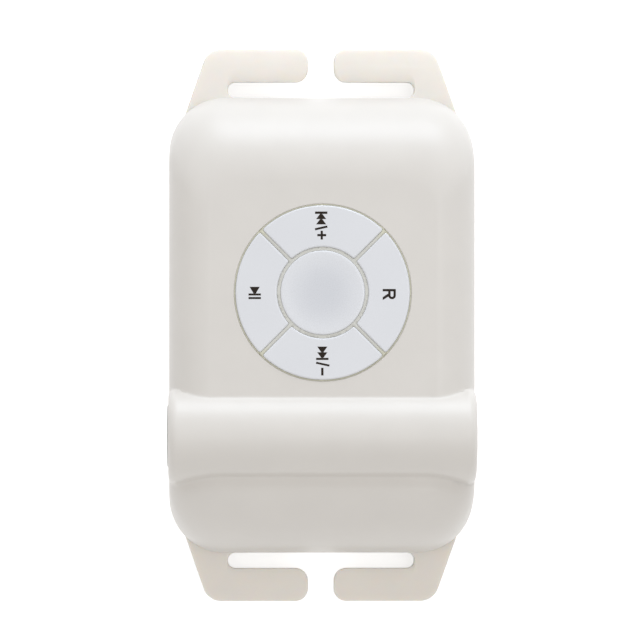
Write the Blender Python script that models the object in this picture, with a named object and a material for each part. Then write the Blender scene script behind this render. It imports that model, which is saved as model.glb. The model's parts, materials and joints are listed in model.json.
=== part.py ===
"""A waterproof digital audio player with strap lugs, a round keypad and a headphone jack in a barrel.

Run it with: blender --background --python part.py
Each piece is one named object, in metres. The back lies on z = 0 and the face looks along +Z. The strap runs
along Y, and the jack opens towards -X. Sizes that can be set by themselves stand first, and everything that
fits in, seats on or passes through another piece is worked out from them.
"""

import math

import bmesh
import bpy
from mathutils import Vector

# Case: two shells that meet at a flat parting line.
BODY_LENGTH = 0.0494
BODY_WIDTH = 0.0329
BODY_CORNER = 0.0062
FACE_HEIGHT = 0.0130
FACE_CORNER = 0.0030
END_ROUNDING = 0.0093
SIDE_ROUNDING = 0.0044
BACK_ROUNDING = 0.0016
WALL = 0.0013
FLOOR = 0.0012
PARTING_HEIGHT = 0.0043
PARTING_GAP = 0.0002
CORNER_STEPS = 6
ROUNDING_STEPS = 7

# Barrel: the round housing that crosses the face and holds the jack.
BARREL_OFFSET = 0.0119
BARREL_SINK = 0.0031
BARREL_RADIUS = 0.0053
BARREL_PROUD = 0.00012
BARREL_EDGE = 0.0007
BARREL_STEPS = 32

# Strap lugs: two hooks at each end, which leave a slot open in the middle.
LUG_REACH = 0.00533
LUG_TIP_SPAN = 0.02455
LUG_FLARE = math.radians(19)
LUG_THICKNESS = 0.0020
LUG_DROP_BELOW_PARTING = 0.0004
LUG_ROOT_SLOPE = math.radians(12)
LUG_BEND_RADIUS = 0.0300
LUG_EDGE = 0.0005
LUG_CORNER = 0.0016
LUG_END_CORNER = 0.0012
LUG_ROOT_OVERLAP = 0.0030
LUG_BEND_CUTS = 3
SLOT_WIDTH = 0.00165
SLOT_LENGTH = 0.0202
SLOT_MOUTH = 0.0028
SLOT_CORNER = 0.0007

# Gasket between the shells, in a rebate of the rear shell's rim.
GASKET_LIP = 0.0005
GASKET_HEIGHT = 0.0007
GASKET_GAP = 0.0001

# Case screws, driven from the back.
CASE_SCREW_INSET = 0.0050
CASE_POST_RADIUS = 0.0022
CASE_BOSS_RADIUS = 0.0017
CASE_SCREW_SHANK = 0.0007
CASE_SCREW_HEAD = 0.0013
CASE_SCREW_HEAD_HEIGHT = 0.0006
CASE_SCREW_LENGTH = 0.0080
CASE_SCREW_RECESS = 0.0002
SCREW_CLEARANCE = 0.0002
SCREW_CROSS_WIDTH = 0.0004
SCREW_CROSS_SHARE = 0.7

# Keypad: four ring sectors round a dished centre key.
PAD_Y = 0.0035
PAD_RADIUS = 0.00932
PAD_GAP = 0.00015
PAD_CHAMFER = 0.0002
CENTRE_KEY_RADIUS = 0.00452
CENTRE_DISH = 0.0003
GROOVE = 0.00036
KEY_THICKNESS = 0.0015
KEY_PROUD = 0.00015
KEY_EDGE = 0.0002
KEY_TRAVEL = 0.00025
TRAVEL_SLACK = 0.00005
PAD_STEPS = 40
RING_STEPS = 32

# Silicone seal under the keys, with ribs in the grooves and a nib over each switch.
SEAL_FLANGE = 0.0014
SEAL_FLANGE_THICKNESS = 0.0006
SEAL_WEB = 0.0004
SEAL_SEAT_GAP = 0.0001
RIB_GAP = 0.00008
RIB_BELOW_KEYS = 0.0004
NIB_RADIUS = 0.0012
NIB_LENGTH = 0.0005

# Clamp ring that presses the seal's flange to the front shell, on legs that stand on the board.
CLAMP_THICKNESS = 0.0008
CLAMP_CLEARANCE = 0.0003
CLAMP_LEG_RADIUS = 0.0005

# Tact switches.
SWITCH_SIDE = 0.0034
SWITCH_HEIGHT = 0.0015
PLUNGER_RADIUS = 0.0009
PLUNGER_STANDOUT = 0.0004
PLUNGER_CLEARANCE = 0.0001
PLUNGER_FLOOR = 0.0004
NIB_GAP = 0.0001

# Main board, its screws and what it carries.
BOARD_THICKNESS = 0.0010
BOARD_SIDE_MARGIN = 0.0010
BOARD_CORNER = 0.0030
BOARD_END_GAP = 0.0006
BOARD_BOSS_RADIUS = 0.0013
BOARD_SCREW_SHANK = 0.0005
BOARD_SCREW_HEAD = 0.0010
BOARD_SCREW_HEAD_HEIGHT = 0.0005
BOARD_SCREW_LENGTH = 0.0030
BOARD_SCREW_ANGLE = math.radians(35)
SOLDER_GAP = 0.0001
LED_SIZE = (0.0016, 0.0010, 0.0007)
LED_GAP = 0.0004
FLASH_SIZE = (0.0120, 0.0184, 0.0010)
PROCESSOR_SIZE = (0.0070, 0.0070, 0.0009)
CRYSTAL_SIZE = (0.0040, 0.0025, 0.0008)
INDUCTOR_SIZE = (0.0030, 0.0030, 0.0010)
CAPACITOR_SIZE = (0.0016, 0.0008, 0.0008)
PARTS_SPACING = 0.0008

# Battery under the board.
BATTERY_SIDE_MARGIN = 0.0040
BATTERY_POST_GAP = 0.0034
BATTERY_TOP_GAP = 0.0005
BATTERY_EDGE = 0.0006
BATTERY_PAD_THICKNESS = 0.0003
BATTERY_PAD_MARGIN = 0.0010
BATTERY_SEAT_GAP = 0.0001
PROTECTION_BOARD_WIDTH = 0.0140
PROTECTION_BOARD_DEPTH = 0.0016
PROTECTION_BOARD_THICKNESS = 0.0006
LEAD_RADIUS = 0.0004
LEAD_SPACING = 0.0022

# Headphone jack in the barrel's left end.
JACK_BORE = 0.0018
JACK_LEAD_IN = 0.0026
JACK_LEAD_IN_DEPTH = 0.0009
COLLAR_RADIUS = 0.00335
COLLAR_FLANGE = 0.0006
COLLAR_PROUD = 0.0001
COLLAR_NOSE = 0.0029
COLLAR_EDGE = 0.0001
COLLAR_GAP = 0.0001
JACK_WALL = 0.0022
JACK_BOSS_RADIUS = 0.0045
O_RING_WIRE = 0.0002
HOUSING_GAP = 0.00025
HOUSING_LENGTH = 0.0130
HOUSING_END = 0.0010
CONTACT_WIDTH = 0.0010
CONTACT_THICKNESS = 0.00025
CONTACT_TAIL = 0.0012
CONTACT_PITCH = 0.0025
CONTACT_FIRST = 0.0024
FLEX_THICKNESS = 0.00015
FLEX_MARGIN = 0.0006
FLEX_ON_BOARD = 0.0008

# What follows from the sizes above.
BODY_END = BODY_LENGTH / 2
BODY_SIDE = BODY_WIDTH / 2
ROOF = FACE_HEIGHT - WALL
FRONT_RIM = PARTING_HEIGHT + PARTING_GAP
BARREL_Y = -BARREL_OFFSET
BARREL_Z = FACE_HEIGHT - BARREL_SINK
BARREL_HALF = BODY_SIDE + BARREL_PROUD
HOUSING_HALF_SIDE = (BARREL_RADIUS - WALL - HOUSING_GAP) / math.sqrt(2)
KEY_TOP = FACE_HEIGHT + KEY_PROUD
KEY_BOTTOM = KEY_TOP - KEY_THICKNESS
SEAL_TOP = min(ROOF - SEAL_SEAT_GAP, KEY_BOTTOM)
SEAL_BOTTOM = SEAL_TOP - SEAL_FLANGE_THICKNESS
WEB_TOP = KEY_BOTTOM - KEY_TRAVEL - TRAVEL_SLACK
WEB_BOTTOM = WEB_TOP - SEAL_WEB
RIB_TOP = KEY_TOP - RIB_BELOW_KEYS
NIB_BOTTOM = WEB_BOTTOM - NIB_LENGTH
PAD_HOLE = PAD_RADIUS + PAD_GAP
SEAL_RADIUS = PAD_HOLE + SEAL_FLANGE
SECTOR_INNER = CENTRE_KEY_RADIUS + GROOVE
SWITCH_RING_RADIUS = (SECTOR_INNER + PAD_RADIUS) / 2
PLUNGER_TOP = NIB_BOTTOM - NIB_GAP
SWITCH_TOP = PLUNGER_TOP - PLUNGER_STANDOUT
BOARD_TOP = SWITCH_TOP - SWITCH_HEIGHT
BOARD_BOTTOM = BOARD_TOP - BOARD_THICKNESS
UNDERSIDE = BOARD_BOTTOM - SOLDER_GAP
CASE_SCREW_X = BODY_SIDE - CASE_SCREW_INSET
CASE_SCREW_Y = BODY_END - CASE_SCREW_INSET
BOARD_LOW = BARREL_Y + BARREL_RADIUS + BOARD_END_GAP
BOARD_HIGH = CASE_SCREW_Y - CASE_POST_RADIUS - BOARD_END_GAP
BOARD_SIDE = BODY_SIDE - WALL - BOARD_SIDE_MARGIN
BOARD_SCREW_TIP = min(BOARD_BOTTOM + BOARD_SCREW_LENGTH, ROOF)
BOARD_SCREW_REACH = SEAL_RADIUS + BOARD_BOSS_RADIUS + CLAMP_CLEARANCE
BOARD_SCREW_X = BOARD_SCREW_REACH * math.cos(BOARD_SCREW_ANGLE)
BOARD_SCREW_Y = BOARD_SCREW_REACH * math.sin(BOARD_SCREW_ANGLE)
FLASH_LEFT = BOARD_SCREW_HEAD + PARTS_SPACING / 2 - BOARD_SCREW_X
CHIP_COLUMN = FLASH_LEFT + FLASH_SIZE[0] + PARTS_SPACING
BATTERY_BOTTOM = FLOOR + BATTERY_PAD_THICKNESS + 2 * BATTERY_SEAT_GAP
BATTERY_TOP = UNDERSIDE - max(FLASH_SIZE[2], PROCESSOR_SIZE[2], INDUCTOR_SIZE[2]) - BATTERY_TOP_GAP
BATTERY_END = CASE_SCREW_Y - CASE_POST_RADIUS - BATTERY_POST_GAP
BATTERY_SIDE = BODY_SIDE - WALL - BATTERY_SIDE_MARGIN

# The ring's keys, as (name, direction from the pad's centre in degrees).
RING_KEYS = (("repeat", 0), ("previous", 90), ("play_pause", 180), ("next", 270))


def material(name, colour, roughness, metallic=0.0):
    """A Principled material, made once for each name."""
    made = bpy.data.materials.get(name)
    if made:
        return made
    made = bpy.data.materials.new(name)
    made.use_nodes = True
    shader = made.node_tree.nodes["Principled BSDF"]
    shader.inputs["Base Color"].default_value = (*colour, 1.0)
    shader.inputs["Roughness"].default_value = roughness
    shader.inputs["Metallic"].default_value = metallic
    made.diffuse_color = (*colour, 1.0)
    return made


def front_plastic():
    return material("front_plastic", (0.83, 0.80, 0.76), 0.35)


def rear_plastic():
    return material("rear_plastic", (0.84, 0.79, 0.70), 0.45)


def key_plastic():
    return material("key_plastic", (0.86, 0.87, 0.90), 0.30)


def seal_silicone():
    return material("seal_silicone", (0.62, 0.63, 0.58), 0.60)


def gasket_rubber():
    return material("gasket_rubber", (0.25, 0.26, 0.27), 0.7)


def black_plastic():
    return material("black_plastic", (0.03, 0.03, 0.035), 0.45)


def board_laminate():
    return material("board_laminate", (0.03, 0.20, 0.09), 0.40)


def steel():
    return material("steel", (0.60, 0.60, 0.62), 0.30, 1.0)


def contact_metal():
    return material("contact_metal", (0.80, 0.62, 0.32), 0.30, 1.0)


def empty(name, location=(0, 0, 0), rotation=(0, 0, 0)):
    """A parent for the pieces of one group."""
    made = bpy.data.objects.new(name, None)
    made.empty_display_size = 0.005
    made.location = location
    made.rotation_euler = rotation
    bpy.context.scene.collection.objects.link(made)
    return made


def add(name, shape, finish, parent=None, location=(0, 0, 0), rotation=(0, 0, 0)):
    """Turns a bmesh into a named object with its own material."""
    bmesh.ops.recalc_face_normals(shape, faces=shape.faces[:])
    mesh = bpy.data.meshes.new(name)
    shape.to_mesh(mesh)
    shape.free()
    made = bpy.data.objects.new(name, mesh)
    if finish:
        mesh.materials.append(finish)
    mesh.shade_smooth()
    mesh.set_sharp_from_angle(angle=math.radians(35))
    made.parent = parent
    made.location = location
    made.rotation_euler = rotation
    bpy.context.scene.collection.objects.link(made)
    return made


def tool(name, shape, parent=None, location=(0, 0, 0), rotation=(0, 0, 0)):
    """A cutter or a filler for a Boolean, which isn't a piece."""
    made = add(name, shape, None, parent, location, rotation)
    made.hide_render = True
    made.display_type = "WIRE"
    return made


def combine(target, operand, operation):
    """Adds a Boolean that cuts operand from target, or joins it to target."""
    step = target.modifiers.new(operand.name, "BOOLEAN")
    step.operation = operation
    step.solver = "EXACT"
    step.object = operand


def round_edges(target, width, segments=2):
    """Rounds the sharp edges of a piece."""
    step = target.modifiers.new("round_edges", "BEVEL")
    step.width = width
    step.segments = segments
    step.limit_method = "ANGLE"
    step.angle_limit = math.radians(40)


def prism(outline, low, high):
    """A closed outline of (x, y) points, extruded between two heights."""
    shape = bmesh.new()
    base = shape.faces.new([shape.verts.new((x, y, low)) for x, y in outline])
    raised = bmesh.ops.extrude_face_region(shape, geom=[base])
    moved = [item for item in raised["geom"] if isinstance(item, bmesh.types.BMVert)]
    bmesh.ops.translate(shape, verts=moved, vec=(0, 0, high - low))
    return shape


def block(size, centre=(0, 0, 0)):
    """A box of that (x, y, z) size about its centre."""
    shape = bmesh.new()
    bmesh.ops.create_cube(shape, size=1.0)
    bmesh.ops.scale(shape, verts=shape.verts[:], vec=size)
    bmesh.ops.translate(shape, verts=shape.verts[:], vec=centre)
    return shape


def turned(profile, steps, loop=False):
    """A profile of (radius, height) points, spun about Z. A loop profile makes a ring."""
    shape = bmesh.new()
    points = [shape.verts.new((radius, 0, height)) for radius, height in profile]
    pairs = list(zip(points, points[1:]))
    if loop:
        pairs.append((points[-1], points[0]))
    edges = [shape.edges.new(pair) for pair in pairs]
    bmesh.ops.spin(
        shape,
        geom=points + edges,
        axis=(0, 0, 1),
        cent=(0, 0, 0),
        angle=2 * math.pi,
        steps=steps,
        use_merge=True,
    )
    bmesh.ops.remove_doubles(shape, verts=shape.verts[:], dist=1e-7)
    return shape


def rod(radius, low, high, steps=16):
    """A plain cylinder along Z."""
    return turned([(0, low), (radius, low), (radius, high), (0, high)], steps)


def gather(shapes):
    """Several shapes as one bmesh, each given as (shape, location)."""
    whole = bmesh.new()
    for shape, location in shapes:
        bmesh.ops.translate(shape, verts=shape.verts[:], vec=location)
        part = bpy.data.meshes.new("part")
        shape.to_mesh(part)
        shape.free()
        whole.from_mesh(part)
        bpy.data.meshes.remove(part)
    return whole


def rods(radius, low, high, places, steps=16):
    """Equal cylinders along Z, one at each (x, y) place."""
    return gather([(rod(radius, low, high, steps), (x, y, 0)) for x, y in places])


def rounded_polygon(corners, steps=3):
    """The outline through (x, y, radius) corners, each rounded by its own radius."""
    outline = []
    for index, (x, y, radius) in enumerate(corners):
        here = Vector((x, y))
        before = Vector(corners[index - 1][:2]) - here
        after = Vector(corners[(index + 1) % len(corners)][:2]) - here
        if radius <= 0:
            outline.append((x, y))
            continue
        half_angle = before.angle(after) / 2
        setback = radius / math.tan(half_angle)
        middle = (before.normalized() + after.normalized()).normalized()
        centre = here + middle * (radius / math.sin(half_angle))
        start = here + before.normalized() * setback - centre
        end = here + after.normalized() * setback - centre
        sweep = start.angle_signed(end)
        for step in range(steps + 1):
            turn = -sweep * step / steps
            outline.append((
                centre.x + start.x * math.cos(turn) - start.y * math.sin(turn),
                centre.y + start.x * math.sin(turn) + start.y * math.cos(turn),
            ))
    return outline


def pulled_in(height, top, radius):
    """How far a quarter-round that ends at the height top has pulled a side in, at a height."""
    rise = min(max(height - (top - radius), 0.0), radius)
    return radius - math.sqrt(radius**2 - rise**2)


def case_ring(height, skin=0.0):
    """The case's outline at a height, as points. A skin above 0 gives the surface that far inside."""
    back = max(BACK_ROUNDING - skin, 0.0)
    low = skin if skin < FLOOR else FLOOR
    under = pulled_in(low + back - height, back, back) if height < low + back else 0.0
    side = pulled_in(height, FACE_HEIGHT - skin, SIDE_ROUNDING - skin)
    end = pulled_in(height, FACE_HEIGHT - skin, END_ROUNDING - skin)
    tightened = (BODY_CORNER - FACE_CORNER) * side / SIDE_ROUNDING
    radius = max(BODY_CORNER - skin - tightened, FACE_CORNER / 4)
    half_x = BODY_SIDE - skin - side - under
    half_y = BODY_END - skin - end - under
    ring = []
    for corner, (toward_x, toward_y) in enumerate(((1, 1), (-1, 1), (-1, -1), (1, -1))):
        for step in range(CORNER_STEPS + 1):
            angle = math.pi / 2 * (corner + step / CORNER_STEPS)
            ring.append((
                toward_x * (half_x - radius) + radius * math.cos(angle),
                toward_y * (half_y - radius) + radius * math.sin(angle),
                height,
            ))
    return ring


def lofted(rings):
    """A closed solid through rings of as many points each, with flat ends."""
    shape = bmesh.new()
    levels = [[shape.verts.new(point) for point in ring] for ring in rings]
    count = len(levels[0])
    for below, above in zip(levels, levels[1:]):
        for index in range(count):
            following = (index + 1) % count
            shape.faces.new((below[index], below[following], above[following], above[index]))
    shape.faces.new(list(reversed(levels[0])))
    shape.faces.new(levels[-1])
    return shape


def case_solid(low, high, skin=0.0):
    """The case, or the space inside its walls, between two heights."""
    top = FACE_HEIGHT - skin
    radius = END_ROUNDING - skin
    heights = {low, high}
    for step in range(ROUNDING_STEPS + 1):
        heights.add(top - radius + radius * math.sin(math.pi / 2 * step / ROUNDING_STEPS))
    back = max(BACK_ROUNDING - skin, 0.0)
    start = skin if skin < FLOOR else FLOOR
    for step in range(4):
        heights.add(start + back * (1 - math.cos(math.pi / 2 * step / 3)))
    inside = sorted(height for height in heights if low <= height <= high)
    spaced = [inside[0]]
    for height in inside[1:]:
        if height - spaced[-1] > 1e-5:
            spaced.append(height)
    spaced[-1] = high
    return lofted([case_ring(height, skin) for height in spaced])


def barrel_solid(radius, left, right, edge):
    """The barrel, or the space inside it, along X between two ends with rounded edges."""
    profile = [(0, left)]
    for end, sign in ((left, 1), (right, -1)):
        arc = []
        for step in range(4):
            angle = math.pi / 2 * step / 3
            arc.append((
                radius - edge * (1 - math.sin(angle)),
                end + sign * edge * (1 - math.cos(angle)),
            ))
        profile += arc if sign > 0 else list(reversed(arc))
    profile.append((0, right))
    return turned(profile, BARREL_STEPS)


def barrel_tool(name, radius, left, right, edge):
    return tool(
        name,
        barrel_solid(radius, left, right, edge),
        location=(0, BARREL_Y, BARREL_Z),
        rotation=(0, math.pi / 2, 0),
    )


def mirrored(x, y):
    """The four places at plus or minus x and y."""
    return [(sign_x * x, sign_y * y) for sign_x in (1, -1) for sign_y in (1, -1)]


def case_screw_places():
    """The case's screws stand in its corners."""
    return mirrored(CASE_SCREW_X, CASE_SCREW_Y)


def board_screw_places():
    """The board's screws stand round the keypad."""
    return [(x, PAD_Y + y) for x, y in mirrored(BOARD_SCREW_X, BOARD_SCREW_Y)]


def key_place(direction):
    """The middle of a ring key's switch, from the pad's centre."""
    angle = math.radians(direction)
    return SWITCH_RING_RADIUS * math.cos(angle), SWITCH_RING_RADIUS * math.sin(angle)


def lug_top(y):
    """Height of a lug's upper face, which bends down round the arm."""
    root = LUG_BEND_RADIUS * math.sin(LUG_ROOT_SLOPE)
    along = min(max(root + abs(y) - BODY_END, 0.0), LUG_BEND_RADIUS)
    drop = LUG_BEND_RADIUS * math.cos(LUG_ROOT_SLOPE) - math.sqrt(LUG_BEND_RADIUS**2 - along**2)
    return PARTING_HEIGHT - LUG_DROP_BELOW_PARTING - drop


def lug(sign_x, sign_y):
    """One hook: an outline in plan with rounded edges, bent down towards its tip."""
    tip_y = BODY_END + LUG_REACH
    bar_y = BODY_END + SLOT_WIDTH
    root_y = BODY_END - LUG_ROOT_OVERLAP
    outer = LUG_TIP_SPAN / 2
    corners = [
        (outer + (tip_y - root_y) * math.tan(LUG_FLARE), root_y, 0),
        (outer, tip_y, LUG_CORNER),
        (SLOT_MOUTH / 2, tip_y, LUG_END_CORNER),
        (SLOT_MOUTH / 2, bar_y, LUG_END_CORNER),
        (SLOT_LENGTH / 2, bar_y, SLOT_CORNER),
        (SLOT_LENGTH / 2, root_y, 0),
    ]
    shape = prism(rounded_polygon(corners), -LUG_THICKNESS, 0)
    rims = [edge for edge in shape.edges if abs(edge.verts[0].co.z - edge.verts[1].co.z) < 1e-9]
    bmesh.ops.bevel(
        shape,
        geom=rims,
        offset=LUG_EDGE,
        segments=2,
        affect="EDGES",
        profile=0.5,
        clamp_overlap=True,
    )
    for cut in range(1, LUG_BEND_CUTS):
        bmesh.ops.bisect_plane(
            shape,
            geom=shape.verts[:] + shape.edges[:] + shape.faces[:],
            plane_co=(0, BODY_END + LUG_REACH * cut / LUG_BEND_CUTS, 0),
            plane_no=(0, 1, 0),
        )
    for vert in shape.verts:
        vert.co = (sign_x * vert.co.x, sign_y * vert.co.y, vert.co.z + lug_top(vert.co.y))
    if sign_x * sign_y < 0:
        bmesh.ops.reverse_faces(shape, faces=shape.faces[:])
    bmesh.ops.triangulate(shape, faces=[face for face in shape.faces if len(face.verts) > 3])
    return shape


def make_front_shell():
    """The front cover with the barrel, its bosses, the keypad's hole and the jack's hole."""
    shell = add("front_shell", case_solid(FRONT_RIM, FACE_HEIGHT), front_plastic())
    barrel = barrel_tool("barrel", BARREL_RADIUS, -BARREL_HALF, BARREL_HALF, BARREL_EDGE)
    combine(shell, barrel, "UNION")
    room = tool("front_room", case_solid(FLOOR, ROOF, WALL))
    end = BARREL_HALF - WALL
    combine(room, barrel_tool("barrel_room", BARREL_RADIUS - WALL, -end, end, WALL / 3), "UNION")
    case_bosses = rods(CASE_BOSS_RADIUS, 0, FACE_HEIGHT, case_screw_places())
    combine(room, tool("case_bosses", case_bosses), "DIFFERENCE")
    board_bosses = rods(BOARD_BOSS_RADIUS, 0, FACE_HEIGHT, board_screw_places())
    combine(room, tool("board_bosses", board_bosses), "DIFFERENCE")
    reach = 2 * BARREL_RADIUS
    jack_frame = {"location": (-BARREL_HALF, BARREL_Y, BARREL_Z), "rotation": (0, math.pi / 2, 0)}
    jack_boss = rod(JACK_BOSS_RADIUS, -reach, JACK_WALL, BARREL_STEPS)
    combine(room, tool("jack_boss", jack_boss, **jack_frame), "DIFFERENCE")
    combine(shell, room, "DIFFERENCE")
    board_room = rods(2 * BOARD_BOSS_RADIUS, 0, BOARD_TOP + SOLDER_GAP, board_screw_places())
    combine(shell, tool("board_room", board_room), "DIFFERENCE")
    below = block((2 * BODY_WIDTH, 2 * BODY_LENGTH, BODY_WIDTH), (0, 0, FRONT_RIM - BODY_WIDTH / 2))
    combine(shell, tool("below_rim", below), "DIFFERENCE")
    case_tip = CASE_SCREW_RECESS + CASE_SCREW_LENGTH + SCREW_CLEARANCE
    case_pilots = rods(CASE_SCREW_SHANK + SCREW_CLEARANCE / 2, 0, case_tip, case_screw_places())
    combine(shell, tool("case_pilots", case_pilots), "DIFFERENCE")
    board_tip = BOARD_SCREW_TIP + SCREW_CLEARANCE
    board_pilots = rods(BOARD_SCREW_SHANK + SCREW_CLEARANCE / 2, 0, board_tip, board_screw_places())
    combine(shell, tool("board_pilots", board_pilots), "DIFFERENCE")
    hole = [
        (0, ROOF - WALL),
        (PAD_HOLE, ROOF - WALL),
        (PAD_HOLE, FACE_HEIGHT - PAD_CHAMFER),
        (PAD_HOLE + 2 * PAD_CHAMFER, FACE_HEIGHT + PAD_CHAMFER),
        (0, FACE_HEIGHT + PAD_CHAMFER),
    ]
    combine(shell, tool("keypad_hole", turned(hole, PAD_STEPS), location=(0, PAD_Y, 0)), "DIFFERENCE")
    seat = COLLAR_FLANGE - COLLAR_PROUD + 2 * O_RING_WIRE + 2 * COLLAR_GAP
    jack_hole = [
        (0, -reach),
        (COLLAR_RADIUS + COLLAR_GAP, -reach),
        (COLLAR_RADIUS + COLLAR_GAP, seat),
        (COLLAR_NOSE + COLLAR_GAP, seat),
        (COLLAR_NOSE + COLLAR_GAP, 2 * JACK_WALL),
        (0, 2 * JACK_WALL),
    ]
    combine(shell, tool("jack_hole", turned(jack_hole, BARREL_STEPS), **jack_frame), "DIFFERENCE")


def make_rear_shell():
    """The back cover with the four strap lugs, the screw posts and the gasket's rebate."""
    shell = add("rear_shell", case_solid(0, PARTING_HEIGHT), rear_plastic())
    lugs = [(lug(sign_x, sign_y), (0, 0, 0)) for sign_x, sign_y in mirrored(1, 1)]
    combine(shell, tool("lugs", gather(lugs)), "UNION")
    above = block((2 * BODY_WIDTH, 2 * BODY_LENGTH, BODY_WIDTH), (0, 0, PARTING_HEIGHT + BODY_WIDTH / 2))
    combine(shell, tool("above_parting", above), "DIFFERENCE")
    combine(shell, tool("rear_room", case_solid(FLOOR, ROOF, WALL)), "DIFFERENCE")
    rebate = case_solid(PARTING_HEIGHT - GASKET_HEIGHT, ROOF, GASKET_LIP)
    combine(shell, tool("gasket_rebate", rebate), "DIFFERENCE")
    posts = rods(CASE_POST_RADIUS, FLOOR / 2, PARTING_HEIGHT, case_screw_places())
    combine(shell, tool("posts", posts), "UNION")
    head = CASE_SCREW_HEAD + SCREW_CLEARANCE
    depth = CASE_SCREW_RECESS + CASE_SCREW_HEAD_HEIGHT + SCREW_CLEARANCE
    combine(shell, tool("head_holes", rods(head, -FLOOR, depth, case_screw_places())), "DIFFERENCE")
    shank_holes = rods(CASE_SCREW_SHANK + SCREW_CLEARANCE, 0, FACE_HEIGHT, case_screw_places())
    combine(shell, tool("shank_holes", shank_holes), "DIFFERENCE")


def make_gasket():
    """A rubber ring in the rebate, between the rims of the two shells."""
    low = PARTING_HEIGHT - GASKET_HEIGHT + GASKET_GAP
    high = FRONT_RIM - GASKET_GAP
    outside = [case_ring(height, GASKET_LIP + GASKET_GAP) for height in (low, high)]
    inside = [case_ring(height, WALL) for height in (low, high)]
    shape = bmesh.new()
    walls = [[shape.verts.new(point) for point in ring] for ring in (*outside, *reversed(inside))]
    count = len(walls[0])
    for wall, following in zip(walls, walls[1:] + walls[:1]):
        for index in range(count):
            beside = (index + 1) % count
            shape.faces.new((wall[index], wall[beside], following[beside], following[index]))
    add("case_gasket", shape, gasket_rubber())


def screw_mesh(name, shank, head, head_height, length):
    """A pan-head screw with a cross recess. Its head's face is at z = 0 and its tip at z = length."""
    edge = head_height / 4
    body = turned(
        [
            (0, 0),
            (head - edge, 0),
            (head, edge),
            (head, head_height),
            (shank, head_height),
            (shank, length - shank),
            (shank / 4, length),
            (0, length),
        ],
        12,
    )
    master = tool(name, body)
    reach = 2 * head * SCREW_CROSS_SHARE
    for sizes in ((reach, SCREW_CROSS_WIDTH), (SCREW_CROSS_WIDTH, reach)):
        bar = tool(f"{name}_recess", block((*sizes, head_height)))
        combine(master, bar, "DIFFERENCE")
    graph = bpy.context.evaluated_depsgraph_get()
    mesh = bpy.data.meshes.new_from_object(master.evaluated_get(graph))
    mesh.materials.clear()
    mesh.materials.append(steel())
    return mesh


def place_screws(name, mesh, places, height):
    """Copies of one screw, with their heads' faces at a height."""
    for number, (x, y) in enumerate(places, 1):
        screw = bpy.data.objects.new(f"{name}_{number}", mesh)
        screw.location = (x, y, height)
        bpy.context.scene.collection.objects.link(screw)


def make_screws():
    """Four screws hold the shells together, and four hold the board to the front shell."""
    case_mesh = screw_mesh(
        "case_screw_master", CASE_SCREW_SHANK, CASE_SCREW_HEAD, CASE_SCREW_HEAD_HEIGHT, CASE_SCREW_LENGTH
    )
    place_screws("case_screw", case_mesh, case_screw_places(), CASE_SCREW_RECESS)
    head_face = BOARD_BOTTOM - BOARD_SCREW_HEAD_HEIGHT - SOLDER_GAP
    board_mesh = screw_mesh(
        "board_screw_master",
        BOARD_SCREW_SHANK,
        BOARD_SCREW_HEAD,
        BOARD_SCREW_HEAD_HEIGHT,
        BOARD_SCREW_TIP - head_face,
    )
    place_screws("board_screw", board_mesh, board_screw_places(), head_face)


def sector_outline(direction):
    """A ring sector between two diagonal grooves of even width."""
    half_groove = GROOVE / 2
    outline = []
    for radius, steps, turning in ((PAD_RADIUS, PAD_STEPS // 4, 1), (SECTOR_INNER, PAD_STEPS // 8, -1)):
        half_sweep = math.pi / 4 - math.asin(half_groove / radius)
        for step in range(steps + 1):
            angle = math.radians(direction) + turning * half_sweep * (2 * step / steps - 1)
            outline.append((radius * math.cos(angle), radius * math.sin(angle)))
    return outline


def make_keys(pad):
    """Four sector caps, and a dished cap in the centre."""
    for name, direction in RING_KEYS:
        at_x, at_y = key_place(direction)
        outline = [(x - at_x, y - at_y) for x, y in sector_outline(direction)]
        cap = add(
            f"key_{name}", prism(outline, -KEY_THICKNESS, 0), key_plastic(), pad, (at_x, at_y, KEY_PROUD)
        )
        round_edges(cap, KEY_EDGE)
    rim = CENTRE_KEY_RADIUS - KEY_EDGE
    profile = [(0, -KEY_THICKNESS), (CENTRE_KEY_RADIUS, -KEY_THICKNESS), (CENTRE_KEY_RADIUS, -KEY_EDGE)]
    profile += [(rim + KEY_EDGE / 2, -KEY_EDGE / 4)]
    profile += [(rim * share, -CENTRE_DISH * (1 - share**2)) for share in (1, 0.8, 0.55, 0.3, 0)]
    finish = material("centre_key_plastic", (0.80, 0.81, 0.85), 0.25)
    add("key_centre", turned(profile, RING_STEPS), finish, pad, (0, 0, KEY_PROUD))


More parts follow.
